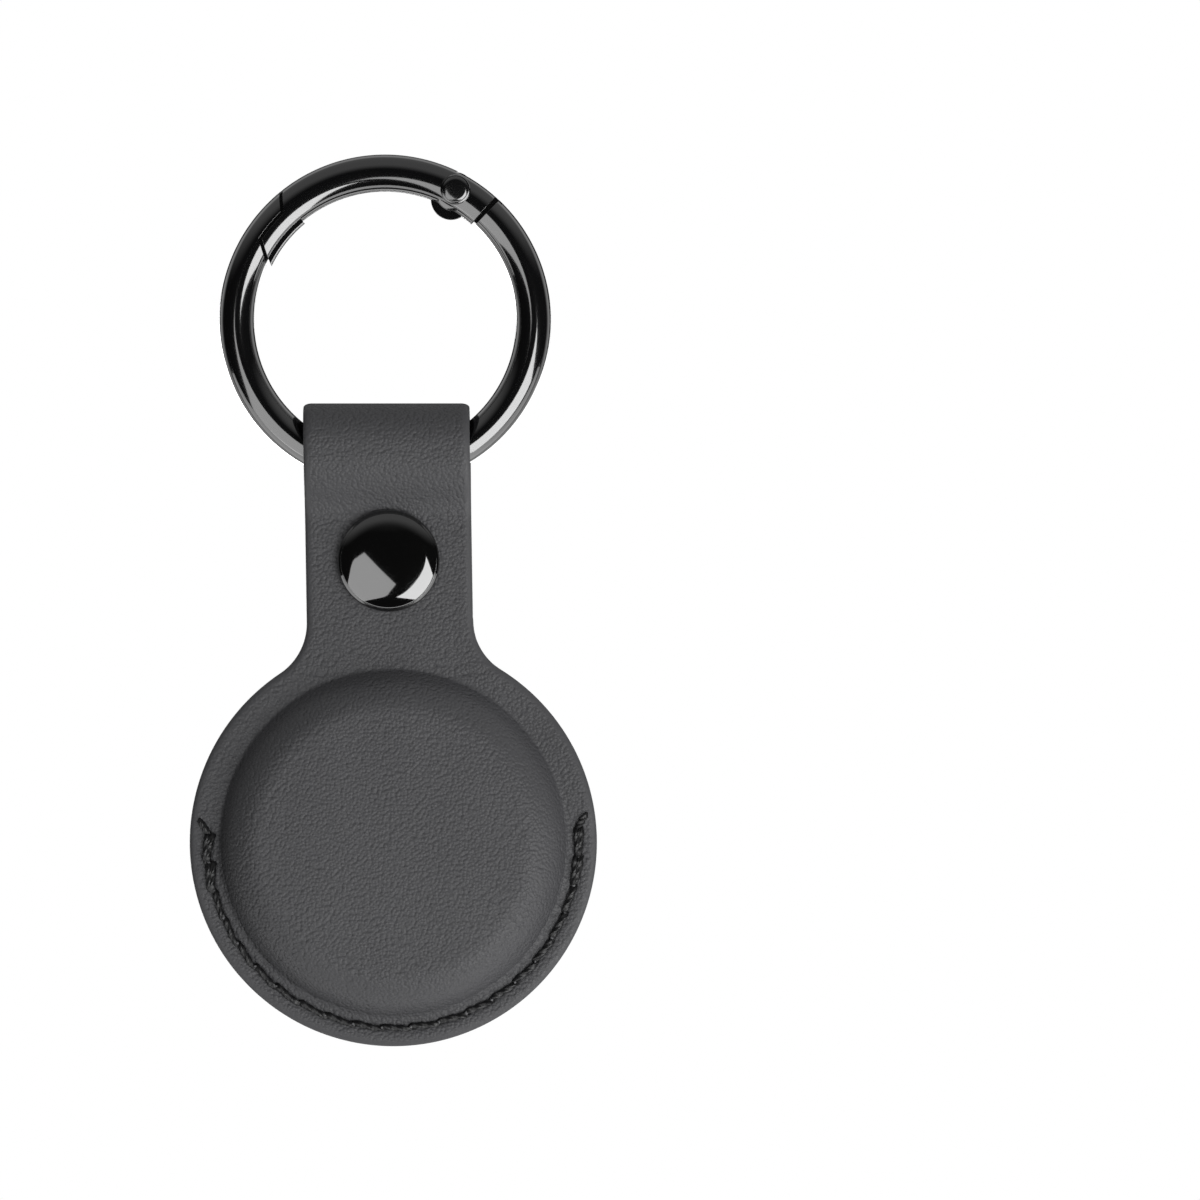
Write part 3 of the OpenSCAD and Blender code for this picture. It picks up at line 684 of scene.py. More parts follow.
def leather(name, light, dark, grain_mm, depth_mm, rough):
    """Coated leather with an embossed grain of the given width and depth."""
    material, tree, shader = blank(name, rough, 0.42)
    where = add(tree, "ShaderNodeTexCoord").outputs["Object"]
    # The pebbles drift from their places by a share of the grain, as pressed ones do
    drift = add(tree, "ShaderNodeTexNoise", {
        "Vector": where, "Scale": 0.6 / (grain_mm * MM), "Detail": 1.0})
    centred = add(tree, "ShaderNodeVectorMath", drift.outputs["Color"], (0.5, 0.5, 0.5),
                  operation="SUBTRACT")
    shift = add(tree, "ShaderNodeVectorMath", centred, (0.15 * grain_mm * MM,) * 3, where,
                operation="MULTIPLY_ADD")
    pebble = add(tree, "ShaderNodeTexVoronoi", {
        "Vector": shift, "Scale": 1 / (grain_mm * MM), "Smoothness": 0.6}, feature="SMOOTH_F1")
    # A pebble falls away from its middle with the square of the distance
    steep = add(tree, "ShaderNodeMath", pebble, -1.6, operation="MULTIPLY")
    height = add(tree, "ShaderNodeMath", pebble, steep, 0.5, operation="MULTIPLY_ADD")
    edge = add(tree, "ShaderNodeAttribute", attribute_name="edge_mm").outputs["Fac"]
    fade = add(tree, "ShaderNodeMapRange", {
        "Value": edge, "From Min": 0.15, "From Max": 1.0}, interpolation_type="SMOOTHSTEP")
    pressed = add(tree, "ShaderNodeMath", height, fade, operation="MULTIPLY")
    bump = add(tree, "ShaderNodeBump", {
        "Strength": 1.0, "Distance": depth_mm * MM, "Height": pressed})
    cloud = add(tree, "ShaderNodeTexNoise", {
        "Vector": where, "Scale": 1 / (CLOUD * MM), "Detail": 3.0})
    tint = add(tree, "ShaderNodeMix", {
        "Factor": cloud, 6: linear(dark), 7: linear(light)}, data_type="RGBA")
    # Painted shadow: the pit mask colours the needle holes near black, where shade would fall
    pit_with_painted_shadow = add(tree, "ShaderNodeAttribute", attribute_name="pit_with_painted_shadow").outputs["Fac"]
    hole = add(tree, "ShaderNodeMix", {
        "Factor": pit_with_painted_shadow, 6: tint.outputs[2], 7: PAINTED_HOLE_SHADOW}, data_type="RGBA")
    # The crown of a pebble is rubbed smoother than the valleys between
    sheen = add(tree, "ShaderNodeMapRange", {
        "Value": height, "From Min": 0.1, "From Max": 0.5,
        "To Min": rough + 0.08, "To Max": rough - 0.06})
    feed(tree, shader, {"Base Color": hole.outputs[2], "Roughness": sheen, "Normal": bump})
    return material


def fibrous(tree, shader, light, dark, fibre_mm, depth_mm, detail):
    """Colour and bump of bare fibres, which edges and threads share."""
    where = add(tree, "ShaderNodeTexCoord").outputs["Object"]
    fibre = add(tree, "ShaderNodeTexNoise", {
        "Vector": where, "Scale": 1 / (fibre_mm * MM), "Detail": detail})
    tint = add(tree, "ShaderNodeMix", {
        "Factor": fibre, 6: linear(dark), 7: linear(light)}, data_type="RGBA")
    bump = add(tree, "ShaderNodeBump", {
        "Strength": 1.0, "Distance": depth_mm * MM, "Height": fibre})
    feed(tree, shader, {"Base Color": tint.outputs[2], "Normal": bump})


def cut_edge(name, light, dark, fibre_mm, depth_mm, rough):
    """The cut edge of leather: fibres, more or less smoothed."""
    material, tree, shader = blank(name, rough, 0.4)
    fibrous(tree, shader, light, dark, fibre_mm, depth_mm, 3.0)
    return material


coated_leather = leather("coated_split_leather", "#434345", "#3c3c3e", 0.3, 0.075, 0.5)
lining_film = leather("embossed_lining_film", "#202022", "#161618", 0.36, 0.035, 0.5)
burnished_edge = cut_edge("burnished_leather_edge", "#3a3a3c", "#2c2c2e", 0.3, 0.01, 0.45)
raw_edge = cut_edge("raw_split_leather_edge", "#b4b4b6", "#5a5a5c", 0.16, 0.03, 0.85)
for piece, face in ((front_skin, coated_leather), (back_skin, coated_leather),
                    (front_inside, lining_film), (back_inside, lining_film)):
    for material in (face, burnished_edge, raw_edge):
        piece.data.materials.append(material)
print([m.name for m in bpy.data.materials if m.users])

# %% [markdown]
# The ring is die-cast zinc with a glossy black lacquer over its plating, and the snap's caps are
# enamelled. Both are black mirrors: almost all that the eye sees is the reflected studio. The
# lacquer is a little uneven, so its reflections waver. A rounded normal stands for the
# few hundredths of a millimetre by which casting and plating soften every corner. The springs
# and posts are drawn steel, whose fine marks spread a highlight, and the threads are bonded
# polyester, which shows its fibres and a slight shine.

# %% Metal and thread
def gloss_black(name, base, rough, wave_mm, wave_depth_mm, corner_mm):
    """Black lacquer or enamel over metal."""
    material, tree, shader = blank(name, rough, 1.0)
    where = add(tree, "ShaderNodeTexCoord").outputs["Object"]
    soft = add(tree, "ShaderNodeBevel", {"Radius": corner_mm * MM}, samples=6)
    swell = add(tree, "ShaderNodeTexNoise", {
        "Vector": where, "Scale": 1 / (wave_mm * MM), "Detail": 1.0})
    wave = add(tree, "ShaderNodeBump", {
        "Strength": 1.0, "Distance": wave_depth_mm * MM, "Height": swell, "Normal": soft})
    feed(tree, shader, {
        "Base Color": linear(base), "Coat Weight": 1.0, "Coat IOR": 1.7, "Coat Roughness": 0.03,
        "Normal": wave, "Coat Normal": wave})
    return material


def steel(name, base, rough, scratch_mm):
    """Bare or darkened steel with fine drawing marks."""
    material, tree, shader = blank(name, rough)
    where = add(tree, "ShaderNodeTexCoord").outputs["Object"]
    marks = add(tree, "ShaderNodeTexNoise", {
        "Vector": where, "Scale": 1 / (scratch_mm * MM), "Detail": 3.0})
    bump = add(tree, "ShaderNodeBump", {"Strength": 1.0, "Distance": 0.002 * MM, "Height": marks})
    worn = add(tree, "ShaderNodeMapRange", {
        "Value": marks, "To Min": rough - 0.08, "To Max": rough + 0.1})
    feed(tree, shader, {
        "Base Color": linear(base), "Metallic": 1.0, "Roughness": worn, "Normal": bump})
    return material


def twisted_thread(name, light, dark):
    """Bonded polyester thread: fine fibres with a slight shine."""
    material, tree, shader = blank(name, 0.42)
    fibrous(tree, shader, light, dark, 0.12, 0.015, 2.0)
    return material


lacquered_zinc = gloss_black("black_lacquered_zinc", "#040405", 0.12, 2.2, 0.004, 0.05)
rivet_black = gloss_black("black_plated_rivet", "#060607", 0.16, 1.2, 0.006, 0.04)
enamel = gloss_black("black_enamelled_brass", "#030303", 0.06, 3.0, 0.003, 0.03)
spring_wire = steel("spring_steel_wire", "#b9b9bc", 0.3, 0.1)
dark_steel = steel("blackened_steel", "#3c3c3f", 0.32, 0.2)
post_steel = steel("plain_steel", "#a0a0a4", 0.35, 0.2)
back_thread = twisted_thread("bonded_thread_back", "#5e5e60", "#2a2a2c")
front_thread = twisted_thread("bonded_thread_front", "#0e0e10", "#040405")
knot_thread = twisted_thread("bonded_thread_knots", "#6a6a6c", "#2e2e30")
print("finishes:", len(bpy.data.materials))

# %% [markdown]
# The ring is one round wire bent to an arc. That follows a rule, so Geometry Nodes sweep it: an
# arc is the path, a circle is the section, and the arc's ends are closed. A modifier runs the
# tree, and its result is kept as a plain mesh. The gate is cast and has a section of its own, so
# it comes in the next step.

# %% Sweep the wire of the ring
SMOOTH_BELOW = 30


def new_tree(name, given):
    """An empty Geometry Nodes tree with named inputs and one geometry output."""
    tree = bpy.data.node_groups.new(name, "GeometryNodeTree")
    kinds = {float: "NodeSocketFloat", int: "NodeSocketInt",
             bpy.types.Material: "NodeSocketMaterial"}
    for title, value in given.items():
        socket = tree.interface.new_socket(title, in_out="INPUT", socket_type=kinds[type(value)])
        socket.default_value = value
    tree.interface.new_socket("Geometry", in_out="OUTPUT", socket_type="NodeSocketGeometry")
    return tree, tree.nodes.new("NodeGroupInput").outputs


def close_tree(tree, geometry, finish):
    """End a tree in real geometry, in metres, with its finish."""
    scaled = add(tree, "GeometryNodeTransform", {"Geometry": geometry, "Scale": (MM, MM, MM)})
    real = add(tree, "GeometryNodeRealizeInstances", scaled)
    done = add(tree, "GeometryNodeSetMaterial", {"Geometry": real, "Material": finish})
    add(tree, "NodeGroupOutput", done)


def close_tube(tree, path, section, finish):
    """End a tree in a tube: a section swept along a path, with closed ends."""
    tube = add(tree, "GeometryNodeCurveToMesh", {
        "Curve": path, "Profile Curve": section, "Fill Caps": True})
    close_tree(tree, tube, finish)


def outward(piece):
    """Merge doubles, point the faces outwards, and smooth all but the sharp edges."""
    shape = bmesh.new()
    shape.from_mesh(piece.data)
    bmesh.ops.remove_doubles(shape, verts=shape.verts, dist=1e-7)
    bmesh.ops.recalc_face_normals(shape, faces=shape.faces)
    shape.to_mesh(piece.data)
    shape.free()
    piece.data.shade_smooth()
    piece.data.set_sharp_from_angle(angle=math.radians(SMOOTH_BELOW))
    return piece


def applied(piece):
    """Replace a piece's mesh by what its modifiers make of it."""
    graph = bpy.context.evaluated_depsgraph_get()
    made = bpy.data.meshes.new_from_object(piece.evaluated_get(graph), depsgraph=graph)
    piece.modifiers.clear()
    piece.data = made
    return piece


def grown(name, tree, values):
    """Run a tree with the given values and keep the result as a plain mesh."""
    piece = placed(name, bpy.data.meshes.new(name))
    modifier = piece.modifiers.new("Grow", "NODES")
    modifier.node_group = tree
    for item in tree.interface.items_tree:
        if item.name in values:
            modifier[item.identifier] = values[item.name]
    return outward(applied(piece))


wire_tree, given = new_tree("bent_wire", {
    "Bend radius": 1.0, "Wire radius": 1.0, "From angle": 0.0, "Through angle": 90.0,
    "Steps": 90, "Sides": 96, "Finish": lacquered_zinc})
start = add(wire_tree, "ShaderNodeMath", given["From angle"], operation="RADIANS")
sweep = add(wire_tree, "ShaderNodeMath", given["Through angle"], operation="RADIANS")
arc = add(wire_tree, "GeometryNodeCurveArc", {
    "Resolution": given["Steps"], "Radius": given["Bend radius"],
    "Start Angle": start, "Sweep Angle": sweep}, mode="RADIUS")
upright = add(wire_tree, "GeometryNodeTransform", {
    "Geometry": arc, "Rotation": (math.pi / 2, 0, 0)})
section = add(wire_tree, "GeometryNodeCurvePrimitiveCircle", {
    "Resolution": given["Sides"], "Radius": given["Wire radius"]})
close_tube(wire_tree, upright, section, given["Finish"])

# Directions round the ring, in degrees: the rivet, the hook's foot, the gate's shoulder, its end
# and the start of its solid nose. The gap at the shoulder is in millimetres
hinge_angle = 60.7
hook_angle = hinge_angle + 66
shoulder_angle = hinge_angle - 14.3
latch_end = hinge_angle + 110
nose_angle = 128.2
shoulder_gap = 0.46
shoulder_half = shoulder_gap / ring_r * 90 / math.pi

wire_end = 360 + shoulder_angle - shoulder_half
ring_piece = grown("ring_body", wire_tree, {
    "Bend radius": float(ring_r), "Wire radius": float(wire_r), "From angle": float(hook_angle),
    "Through angle": float(wire_end - hook_angle), "Steps": int(wire_end - hook_angle) + 1})
print("ring wire", len(ring_piece.data.polygons), "faces")

# %% [markdown]
# The gate is cast with a channel on its inner side for the spring, two lips beside that channel,
# and a stepped nose that hooks behind the ring's end. Each of these is a cut with a simple block,
# so booleans make them, as a milling cutter would. All cuts near the latch run along circles
# round the rivet, or the gate could not swing.

# %% Blocks to cut and join with
def polar(r, angle):
    """A point of the ring's plane, from a radius and a direction in degrees."""
    return [r * math.cos(math.radians(angle)), r * math.sin(math.radians(angle))]


def prism(name, outline, y0, y1):
    """A block with an outline in the ring's plane."""
    n = len(outline)
    points = [(x, y, z) for y in (y0, y1) for x, z in outline]
    sides = [[k, (k + 1) % n, (k + 1) % n + n, k + n] for k in range(n)]
    ends = [list(range(n)), list(range(2 * n - 1, n - 1, -1))]
    return outward(new_mesh(name, points, ends + sides))


def disc(centre, radius, sides=144):
    """A circle in the ring's plane."""
    return [[centre[0] + radius * math.cos(t), centre[1] + radius * math.sin(t)]
            for t in np.linspace(0, 2 * math.pi, sides, endpoint=False)]


def sector(r0, r1, a0, a1):
    """A piece of a flat ring between two radii and two directions."""
    angles = np.linspace(a0, a1, max(2, int(abs(a1 - a0))))
    return [polar(r1, a) for a in angles] + [polar(r0, a) for a in angles[::-1]]


def swept(name, section, a0, a1):
    """A section of (radius, depth) points turned round the ring's axis between two directions."""
    angles = np.radians(np.linspace(a0, a1, int(a1 - a0) + 1))
    points = [(r * math.cos(a), y, r * math.sin(a)) for a in angles for r, y in section]
    n, last = len(section), len(section) * (len(angles) - 1)
    faces = [[k + j * n, (k + 1) % n + j * n, (k + 1) % n + (j + 1) * n, k + (j + 1) * n]
             for j in range(len(angles) - 1) for k in range(n)]
    return outward(new_mesh(name, points, faces + [list(range(n)), list(range(last, last + n))]))


def turned(name, profile, y, side, x=0.0, z=0.0, segments=96):
    """A lathed shape: (radius, height) points round an axis along Y, height counted from y."""
    angles = np.linspace(0, 2 * math.pi, segments, endpoint=False)
    points, rows = [], []
    for r, h in profile:
        count = segments if r > 0 else 1
        rows.append([len(points) + (k if r > 0 else 0) for k in range(segments)])
        points += [(x + r * math.cos(a), y + side * h, z + r * math.sin(a)) for a in angles[:count]]
    open_ends = profile[0][0] == 0 and profile[-1][0] == 0
    pairs = list(zip(rows, rows[1:])) + ([] if open_ends else [(rows[-1], rows[0])])
    faces = [distinct([p[k], p[k - 1], q[k - 1], q[k]]) for p, q in pairs for k in range(segments)]
    return outward(new_mesh(name, points, faces))


def both_sides(half):
    """A profile and its mirror image behind the ring's plane."""
    return half + [[r, -y] for r, y in reversed(half)]


def carve(piece, operation, cutter):
    """Join a block to a piece, or cut with it, and keep the plain result."""
    modifier = piece.modifiers.new("Carve", "BOOLEAN")
    modifier.operation, modifier.object, modifier.solver = operation, cutter, "EXACT"
    applied(piece)
    bpy.data.objects.remove(cutter)


pivot = ring_r * np.array(polar(1, hinge_angle))
print("rivet at", pivot.round(2), "mm")

# %% [markdown]
# The latch is one stepped line. It is used three times: the gate is cut along the line itself,
# the ring's end stands off it by a hair in the middle, where the two hook together, and by a
# visible gap on both faces. The ring's other end carries a flat tongue for the rivet, and the
# tongue carries the round lobe that pushes the plunger when the gate opens.

# %% Cut the ring's end and add its tongue
# How far the cutting blocks reach: radii, depths, and directions past both ends of the latch
INSIDE, OUTSIDE, THROUGH = 9, 20, 4
BEFORE_LATCH, BEYOND_LATCH = hook_angle - 10, 178
# The latch's line as distances from the rivet, its gap on both faces and in the middle
NOTCH_REACH, NOSE_REACH, STEP_IN = 0.582 * 2 * ring_r, 0.671 * 2 * ring_r, 0.175
LATCH_GAP, LATCH_WEB_GAP, LATCH_WEB = 0.34, 0.02, 0.7
# The tongue, its eye for the rivet, and the lobe that pushes the plunger
TONGUE_T, TONGUE_H, TONGUE_OUT = 1.3, 3.1, 1.72
EYE_R, LOBE_R, LOBE_REACH, LOBE_TURN = 1.75, 2.0, 1.09, 182.8
EYE_HOLE_R, RIVET_R = 0.8, 0.75


def latch_line(gap):
    """The latch's line from outside to inside, moved away from the rivet by a gap."""
    def off_hinge(reach, r):
        share = (r ** 2 + ring_r ** 2 - reach ** 2) / (2 * r * ring_r)
        return hinge_angle + math.degrees(math.acos(share))
    notch, nose, step = NOTCH_REACH + gap, NOSE_REACH + gap, ring_r + gap - STEP_IN
    line = [polar(r, off_hinge(notch, r)) for r in np.linspace(OUTSIDE, step, 14)]
    line += [polar(step, a) for a in np.linspace(off_hinge(notch, step), off_hinge(nose, step), 24)]
    return line + [polar(r, off_hinge(nose, r)) for r in np.linspace(step, INSIDE, 16)]


def past_latch(gap, angle, y0, y1):
    """A block between the latch's line and a direction, for cutting off an end."""
    return prism("cut", latch_line(gap) + [polar(INSIDE, angle), polar(OUTSIDE, angle)], y0, y1)


for gap, y0, y1 in ((LATCH_WEB_GAP, -THROUGH, THROUGH),
                    (LATCH_GAP, -THROUGH, -LATCH_WEB), (LATCH_GAP, LATCH_WEB, THROUGH)):
    carve(ring_piece, "DIFFERENCE", past_latch(gap, BEFORE_LATCH, y0, y1))
lobe = pivot + LOBE_REACH * np.array(polar(1, hinge_angle + LOBE_TURN))
arm = sector(ring_r - TONGUE_H / 2, ring_r + TONGUE_OUT,
             shoulder_angle - 3 * shoulder_half, hinge_angle)
tongue, eye, cam = (prism(name, outline, -TONGUE_T / 2, TONGUE_T / 2) for name, outline in (
    ("tongue", arm), ("eye", disc(pivot, EYE_R)), ("lobe", disc(lobe, LOBE_R))))
carve(tongue, "UNION", eye)
carve(tongue, "UNION", cam)
carve(ring_piece, "UNION", tongue)
carve(ring_piece, "DIFFERENCE", prism("hole", disc(pivot, EYE_HOLE_R, 64), -2, 2))
print("ring", len(ring_piece.data.polygons), "faces")

# %% [markdown]
# The gate's section is a full oval: its front is flatter than the wire, and it reaches further in.
# A squared circle describes it, which is a circle's formula with a power above two.

# %% Shape the gate
GATE_IN, OVAL, OVAL_SIDES = 12.8, 2.35, 96
CHANNEL_W, CHANNEL_FLOOR, FORK_ANGLE = 1.5, 14.5, 2.7
CHANNEL_IN, FORK_OUT, FORK_START = 7, 25, shoulder_angle - 1
LOBE_POCKET_R, GATE_BACK, EYE_ROOM_R = 3.4, 15.9, 1.85
gate_mid = (GATE_IN + ring_r + wire_r) / 2
oval_a, oval_b = gate_mid - GATE_IN, wire_r
oval = []
for t in np.linspace(0, 2 * math.pi, OVAL_SIDES, endpoint=False):
    c, s = math.cos(t), math.sin(t)
    oval.append([gate_mid + oval_a * math.copysign(abs(c) ** (2 / OVAL), c),
                 oval_b * math.copysign(abs(s) ** (2 / OVAL), s)])
gate_piece = swept("gate_body", oval, shoulder_angle + shoulder_half, latch_end)

lip_r, lip_w, lip_corner = 12.62, 2.5, 0.15
rounded = bend((lip_r + lip_corner, lip_corner - lip_w / 2), lip_corner, 180, 270, 1, 6)[:, :2]
lip_section = both_sides([[ring_r, -lip_w / 2]] + rounded[::-1].tolist())
boss = both_sides([(0, -1.88), (1.32, -1.88), (1.42, -1.84), (1.5, -1.7)])
cheek = both_sides([(0, -1.3), (1.55, -1.3), (1.72, -1.22), (1.8, -1.05)])
cheek_at = pivot - 0.4 * np.array(polar(1, hinge_angle))
carve(gate_piece, "UNION", swept("nose lip", lip_section, nose_angle + 0.5, latch_end))
carve(gate_piece, "UNION", turned("cheek", cheek, 0, 1, *cheek_at, 144))
carve(gate_piece, "UNION", turned("boss", boss, 0, 1, *pivot, 144))
carve(gate_piece, "DIFFERENCE", past_latch(0, BEYOND_LATCH, -THROUGH, THROUGH))
# The pocket for the tongue's lobe stays inside the gate's back, which is closed
lobe_pocket = [
    [x, z] if math.hypot(x, z) < GATE_BACK else polar(GATE_BACK, math.degrees(math.atan2(z, x)))
    for x, z in disc(pivot, LOBE_POCKET_R)]
channel = sector(CHANNEL_IN, CHANNEL_FLOOR, FORK_START, nose_angle)
fork = sector(CHANNEL_IN, FORK_OUT, FORK_START, hinge_angle - FORK_ANGLE)
for outline in (channel, fork, lobe_pocket, disc(pivot, EYE_ROOM_R)):
    carve(gate_piece, "DIFFERENCE", prism("cut", outline, -CHANNEL_W / 2, CHANNEL_W / 2))
carve(gate_piece, "DIFFERENCE", prism("hole", disc(pivot, RIVET_R, 64), -THROUGH, THROUGH))
print("gate", len(gate_piece.data.polygons), "faces")

# %% [markdown]
# A boolean leaves long thin faces whose averaged normals would dent a mirror. The sections follow
# a formula, so the true normal of every untouched point is known, and it is given to the mesh.

# %% Give the ring and the gate their true normals
def true_normals(piece, middle_r, half_r, half_y, power):
    """Shade what the cuts left of a section by the formula of its oval, or of its circle."""
    mesh = piece.data
    mesh.shade_smooth()
    mesh.set_sharp_from_angle(angle=math.radians(SMOOTH_BELOW))
    place = np.array([v.co for v in mesh.vertices]) / MM
    around = np.arctan2(place[:, 2], place[:, 0])
    u = (np.hypot(place[:, 0], place[:, 2]) - middle_r) / half_r
    v = place[:, 1] / half_y
    off_section = np.abs((np.abs(u) ** power + np.abs(v) ** power) ** (1 / power) - 1)
    du = np.copysign(np.abs(u) ** (power - 1), u) / half_r
    dv = np.copysign(np.abs(v) ** (power - 1), v) / half_y
    out = np.stack([du * np.cos(around), dv, du * np.sin(around)], axis=1)
    out /= np.maximum(np.linalg.norm(out, axis=1), 1e-9)[:, None]
    normals = np.zeros((len(mesh.loops), 3))
    for face in mesh.polygons:
        corners = list(face.vertices)
        middle = out[corners].mean(axis=0)
        if off_section[corners].max() < 0.01 and middle @ np.array(face.normal) > 0.96:
            normals[list(face.loop_indices)] = out[corners]
    mesh.normals_split_custom_set(normals.tolist())


true_normals(ring_piece, ring_r, wire_r, wire_r, 2)
true_normals(gate_piece, gate_mid, oval_a, oval_b, OVAL)
for piece in (ring_piece, gate_piece):
    piece.data.materials.clear()
    piece.data.materials.append(lacquered_zinc)
    print(piece.name, len(piece.data.polygons), "faces")

# %% [markdown]
# The rivet and the snap are turned parts, so a profile is spun round their axis. The rivet has a
# low dome in front and a rolled end behind. Each cap of the snap is a thin drawn shell: a rolled
# rim, a fine groove, and a dome that is nearly flat in the middle and falls quickly at its edge.
# The dome's slope is what shapes its reflections, so the slope is given and its height summed up.

# %% Turn the rivet and the caps
CAP_H, CAP_FLAT_R, CAP_DOME_R, CAP_HOLLOW_R = 1.7, 3.4, 4.74, 4.4
RIM_X, RIM_Y, RIM_R, RIM_TALL = 4.72, 0.45, 0.38, 1.15
rivet = turned("hinge_rivet_body", [
    (0, -2.12), (0.6, -2.11), (0.95, -2.09), (1.12, -2.06), (1.24, -1.99), (1.3, -1.9),
    (0.74, -1.89), (0.74, 1.925), (1.22, 1.93), (1.3, 2.0), (1.27, 2.1), (1.12, 2.21),
    (0.9, 2.26), (0.68, 2.22), (0.5, 2.08), (0.35, 1.8), (0, 1.65)], 0, 1, *pivot)
rivet.data.materials.append(rivet_black)


def dome(r):
    """The slope of a cap's dome, in degrees, at a radius in millimetres."""
    past_flat = (r - CAP_FLAT_R) / (CAP_DOME_R - CAP_FLAT_R)
    return 2.65 * r if r < CAP_FLAT_R else 9 + 25 * past_flat ** 1.6


stations = np.concatenate([
    np.linspace(0, CAP_FLAT_R, 18), np.linspace(CAP_FLAT_R, CAP_DOME_R, 16)[1:]])
slopes = np.tan(np.radians([dome(r) for r in stations]))
falls = np.concatenate([[0], np.cumsum((slopes[1:] + slopes[:-1]) / 2 * np.diff(stations))])
cap_profile = [(r, CAP_H - fall) for r, fall in zip(stations, falls)]
groove_h = cap_profile[-1][1] - 0.04
rim = bend((RIM_X, RIM_Y), RIM_R, 62, -78, 1, 14)[:, :2]
rim[:, 1] = RIM_Y + (rim[:, 1] - RIM_Y) * RIM_TALL
cap_profile += [(4.77, groove_h), (4.8, groove_h)] + [(r, h) for r, h in rim.tolist()]
cap_profile += [(4.6, 0.0), (4.45, 0.0), (CAP_HOLLOW_R, 0.05), (CAP_HOLLOW_R, 0.7), (0, 0.7)]
front_cap = turned("front_cap_shell", cap_profile, -face_y - glue_t, -1, 0, snap_z, 160)
back_cap = turned("back_cap_shell", cap_profile, tab_y + leather_t + glue_t, 1, 0, snap_z, 160)
for piece in (front_cap, back_cap):
    piece.data.materials.append(enamel)
    print(piece.name, len(piece.data.polygons), "faces")

# %% [markdown]
# The socket and the stud are pressed from sheet steel. The socket is a cup with a rolled rim that
# holds the ring spring, and the stud is a plate with a hollow knob, whose neck the spring grips.

# %% Turn the socket and the stud
socket = turned("snap_socket_body", [
    (0.9, 0.03), (0.93, 0), (2.86, 0), (2.9, 0.04), (2.9, 1.28), (2.97, 1.35), (3.93, 1.35),
    (4.0, 1.28), (4.0, 0.04), (4.04, 0), (4.26, 0), (4.3, 0.04), (4.3, 1.3), (4.26, 1.47),
    (4.16, 1.58), (3.98, 1.64), (3.9, 1.65), (2.9, 1.6), (2.6, 1.65), (2.25, 1.62),
    (2.06, 1.5), (2.0, 1.35), (2.0, 0.36), (1.94, 0.3), (0.93, 0.3), (0.9, 0.27)],
    face_y + glue_t, 1, 0, snap_z)
stud = turned("snap_stud_body", [
    (0.82, 0.02), (0.84, 0), (3.86, 0), (3.9, 0.05), (3.88, 0.16), (3.7, 0.29), (3.5, 0.33),
    (1.5, 0.33), (1.3, 0.38), (1.2, 0.52), (1.2, 1.02), (1.28, 1.1), (1.42, 1.15),
    (1.5, 1.25), (1.47, 1.36), (1.36, 1.44), (1.2, 1.453), (0.88, 1.453), (0.82, 1.4)],
    tab_y - glue_t, -1, 0, snap_z)
for piece in (socket, stud):
    piece.data.materials.append(dark_steel)
    print(piece.name, len(piece.data.polygons), "faces")

# %% [markdown]
# A gate spring is a coil bent along the gate's arc, inside the channel. Position along the coil is
# a simple sum of two turns, one round the ring and one round the coil, so the tree moves the
# points of a line there and sweeps the wire along it.

# %% Wind the gate spring
def line_of_points(tree, spans, position):
    """A curve of so many spans, each of its points at the position that the tree works out."""
    count = add(tree, "ShaderNodeMath", spans, 1.0, operation="ADD")
    line = add(tree, "GeometryNodeMeshLine", {"Count": count})
    curve = add(tree, "GeometryNodeMeshToCurve", line)
    return add(tree, "GeometryNodeSetPosition", {"Geometry": curve, "Position": position})


def round_the_ring(tree, radius, degrees, depth, middle=0.0):
    """A position from a radius, a direction and a depth, round a circle with a given middle."""
    turn = add(tree, "ShaderNodeMath", degrees, operation="RADIANS")
    across_share = add(tree, "ShaderNodeMath", turn, operation="COSINE")
    upward_share = add(tree, "ShaderNodeMath", turn, operation="SINE")
    x = add(tree, "ShaderNodeMath", radius, across_share, operation="MULTIPLY")
    z = add(tree, "ShaderNodeMath", radius, upward_share, middle, operation="MULTIPLY_ADD")
    return add(tree, "ShaderNodeCombineXYZ", x, depth, z)


coil_tree, given = new_tree("bent_coil", {
    "Turns": 10, "Points a turn": 20, "Bend radius": 1.0, "Coil radius": 1.0, "Wire radius": 0.1,
    "From angle": 0.0, "Through angle": 90.0, "Finish": spring_wire})
index = coil_tree.nodes.new("GeometryNodeInputIndex")
spans = add(coil_tree, "ShaderNodeMath", given["Turns"], given["Points a turn"],
            operation="MULTIPLY")
along = add(coil_tree, "ShaderNodeMath", index, spans, operation="DIVIDE")
swing = add(coil_tree, "ShaderNodeMath", along, given["Through angle"], given["From angle"],
            operation="MULTIPLY_ADD")
turns = add(coil_tree, "ShaderNodeMath", index, given["Points a turn"], operation="DIVIDE")
spin = add(coil_tree, "ShaderNodeMath", turns, math.tau, operation="MULTIPLY")
inward_share = add(coil_tree, "ShaderNodeMath", spin, operation="COSINE")
reach = add(coil_tree, "ShaderNodeMath", inward_share, given["Coil radius"], given["Bend radius"],
            operation="MULTIPLY_ADD")
depth_share = add(coil_tree, "ShaderNodeMath", spin, operation="SINE")
depth = add(coil_tree, "ShaderNodeMath", depth_share, given["Coil radius"], operation="MULTIPLY")
coil = line_of_points(coil_tree, spans, round_the_ring(coil_tree, reach, swing, depth))
section = add(coil_tree, "GeometryNodeCurvePrimitiveCircle", {
    "Resolution": 10, "Radius": given["Wire radius"]})
close_tube(coil_tree, coil, section, given["Finish"])

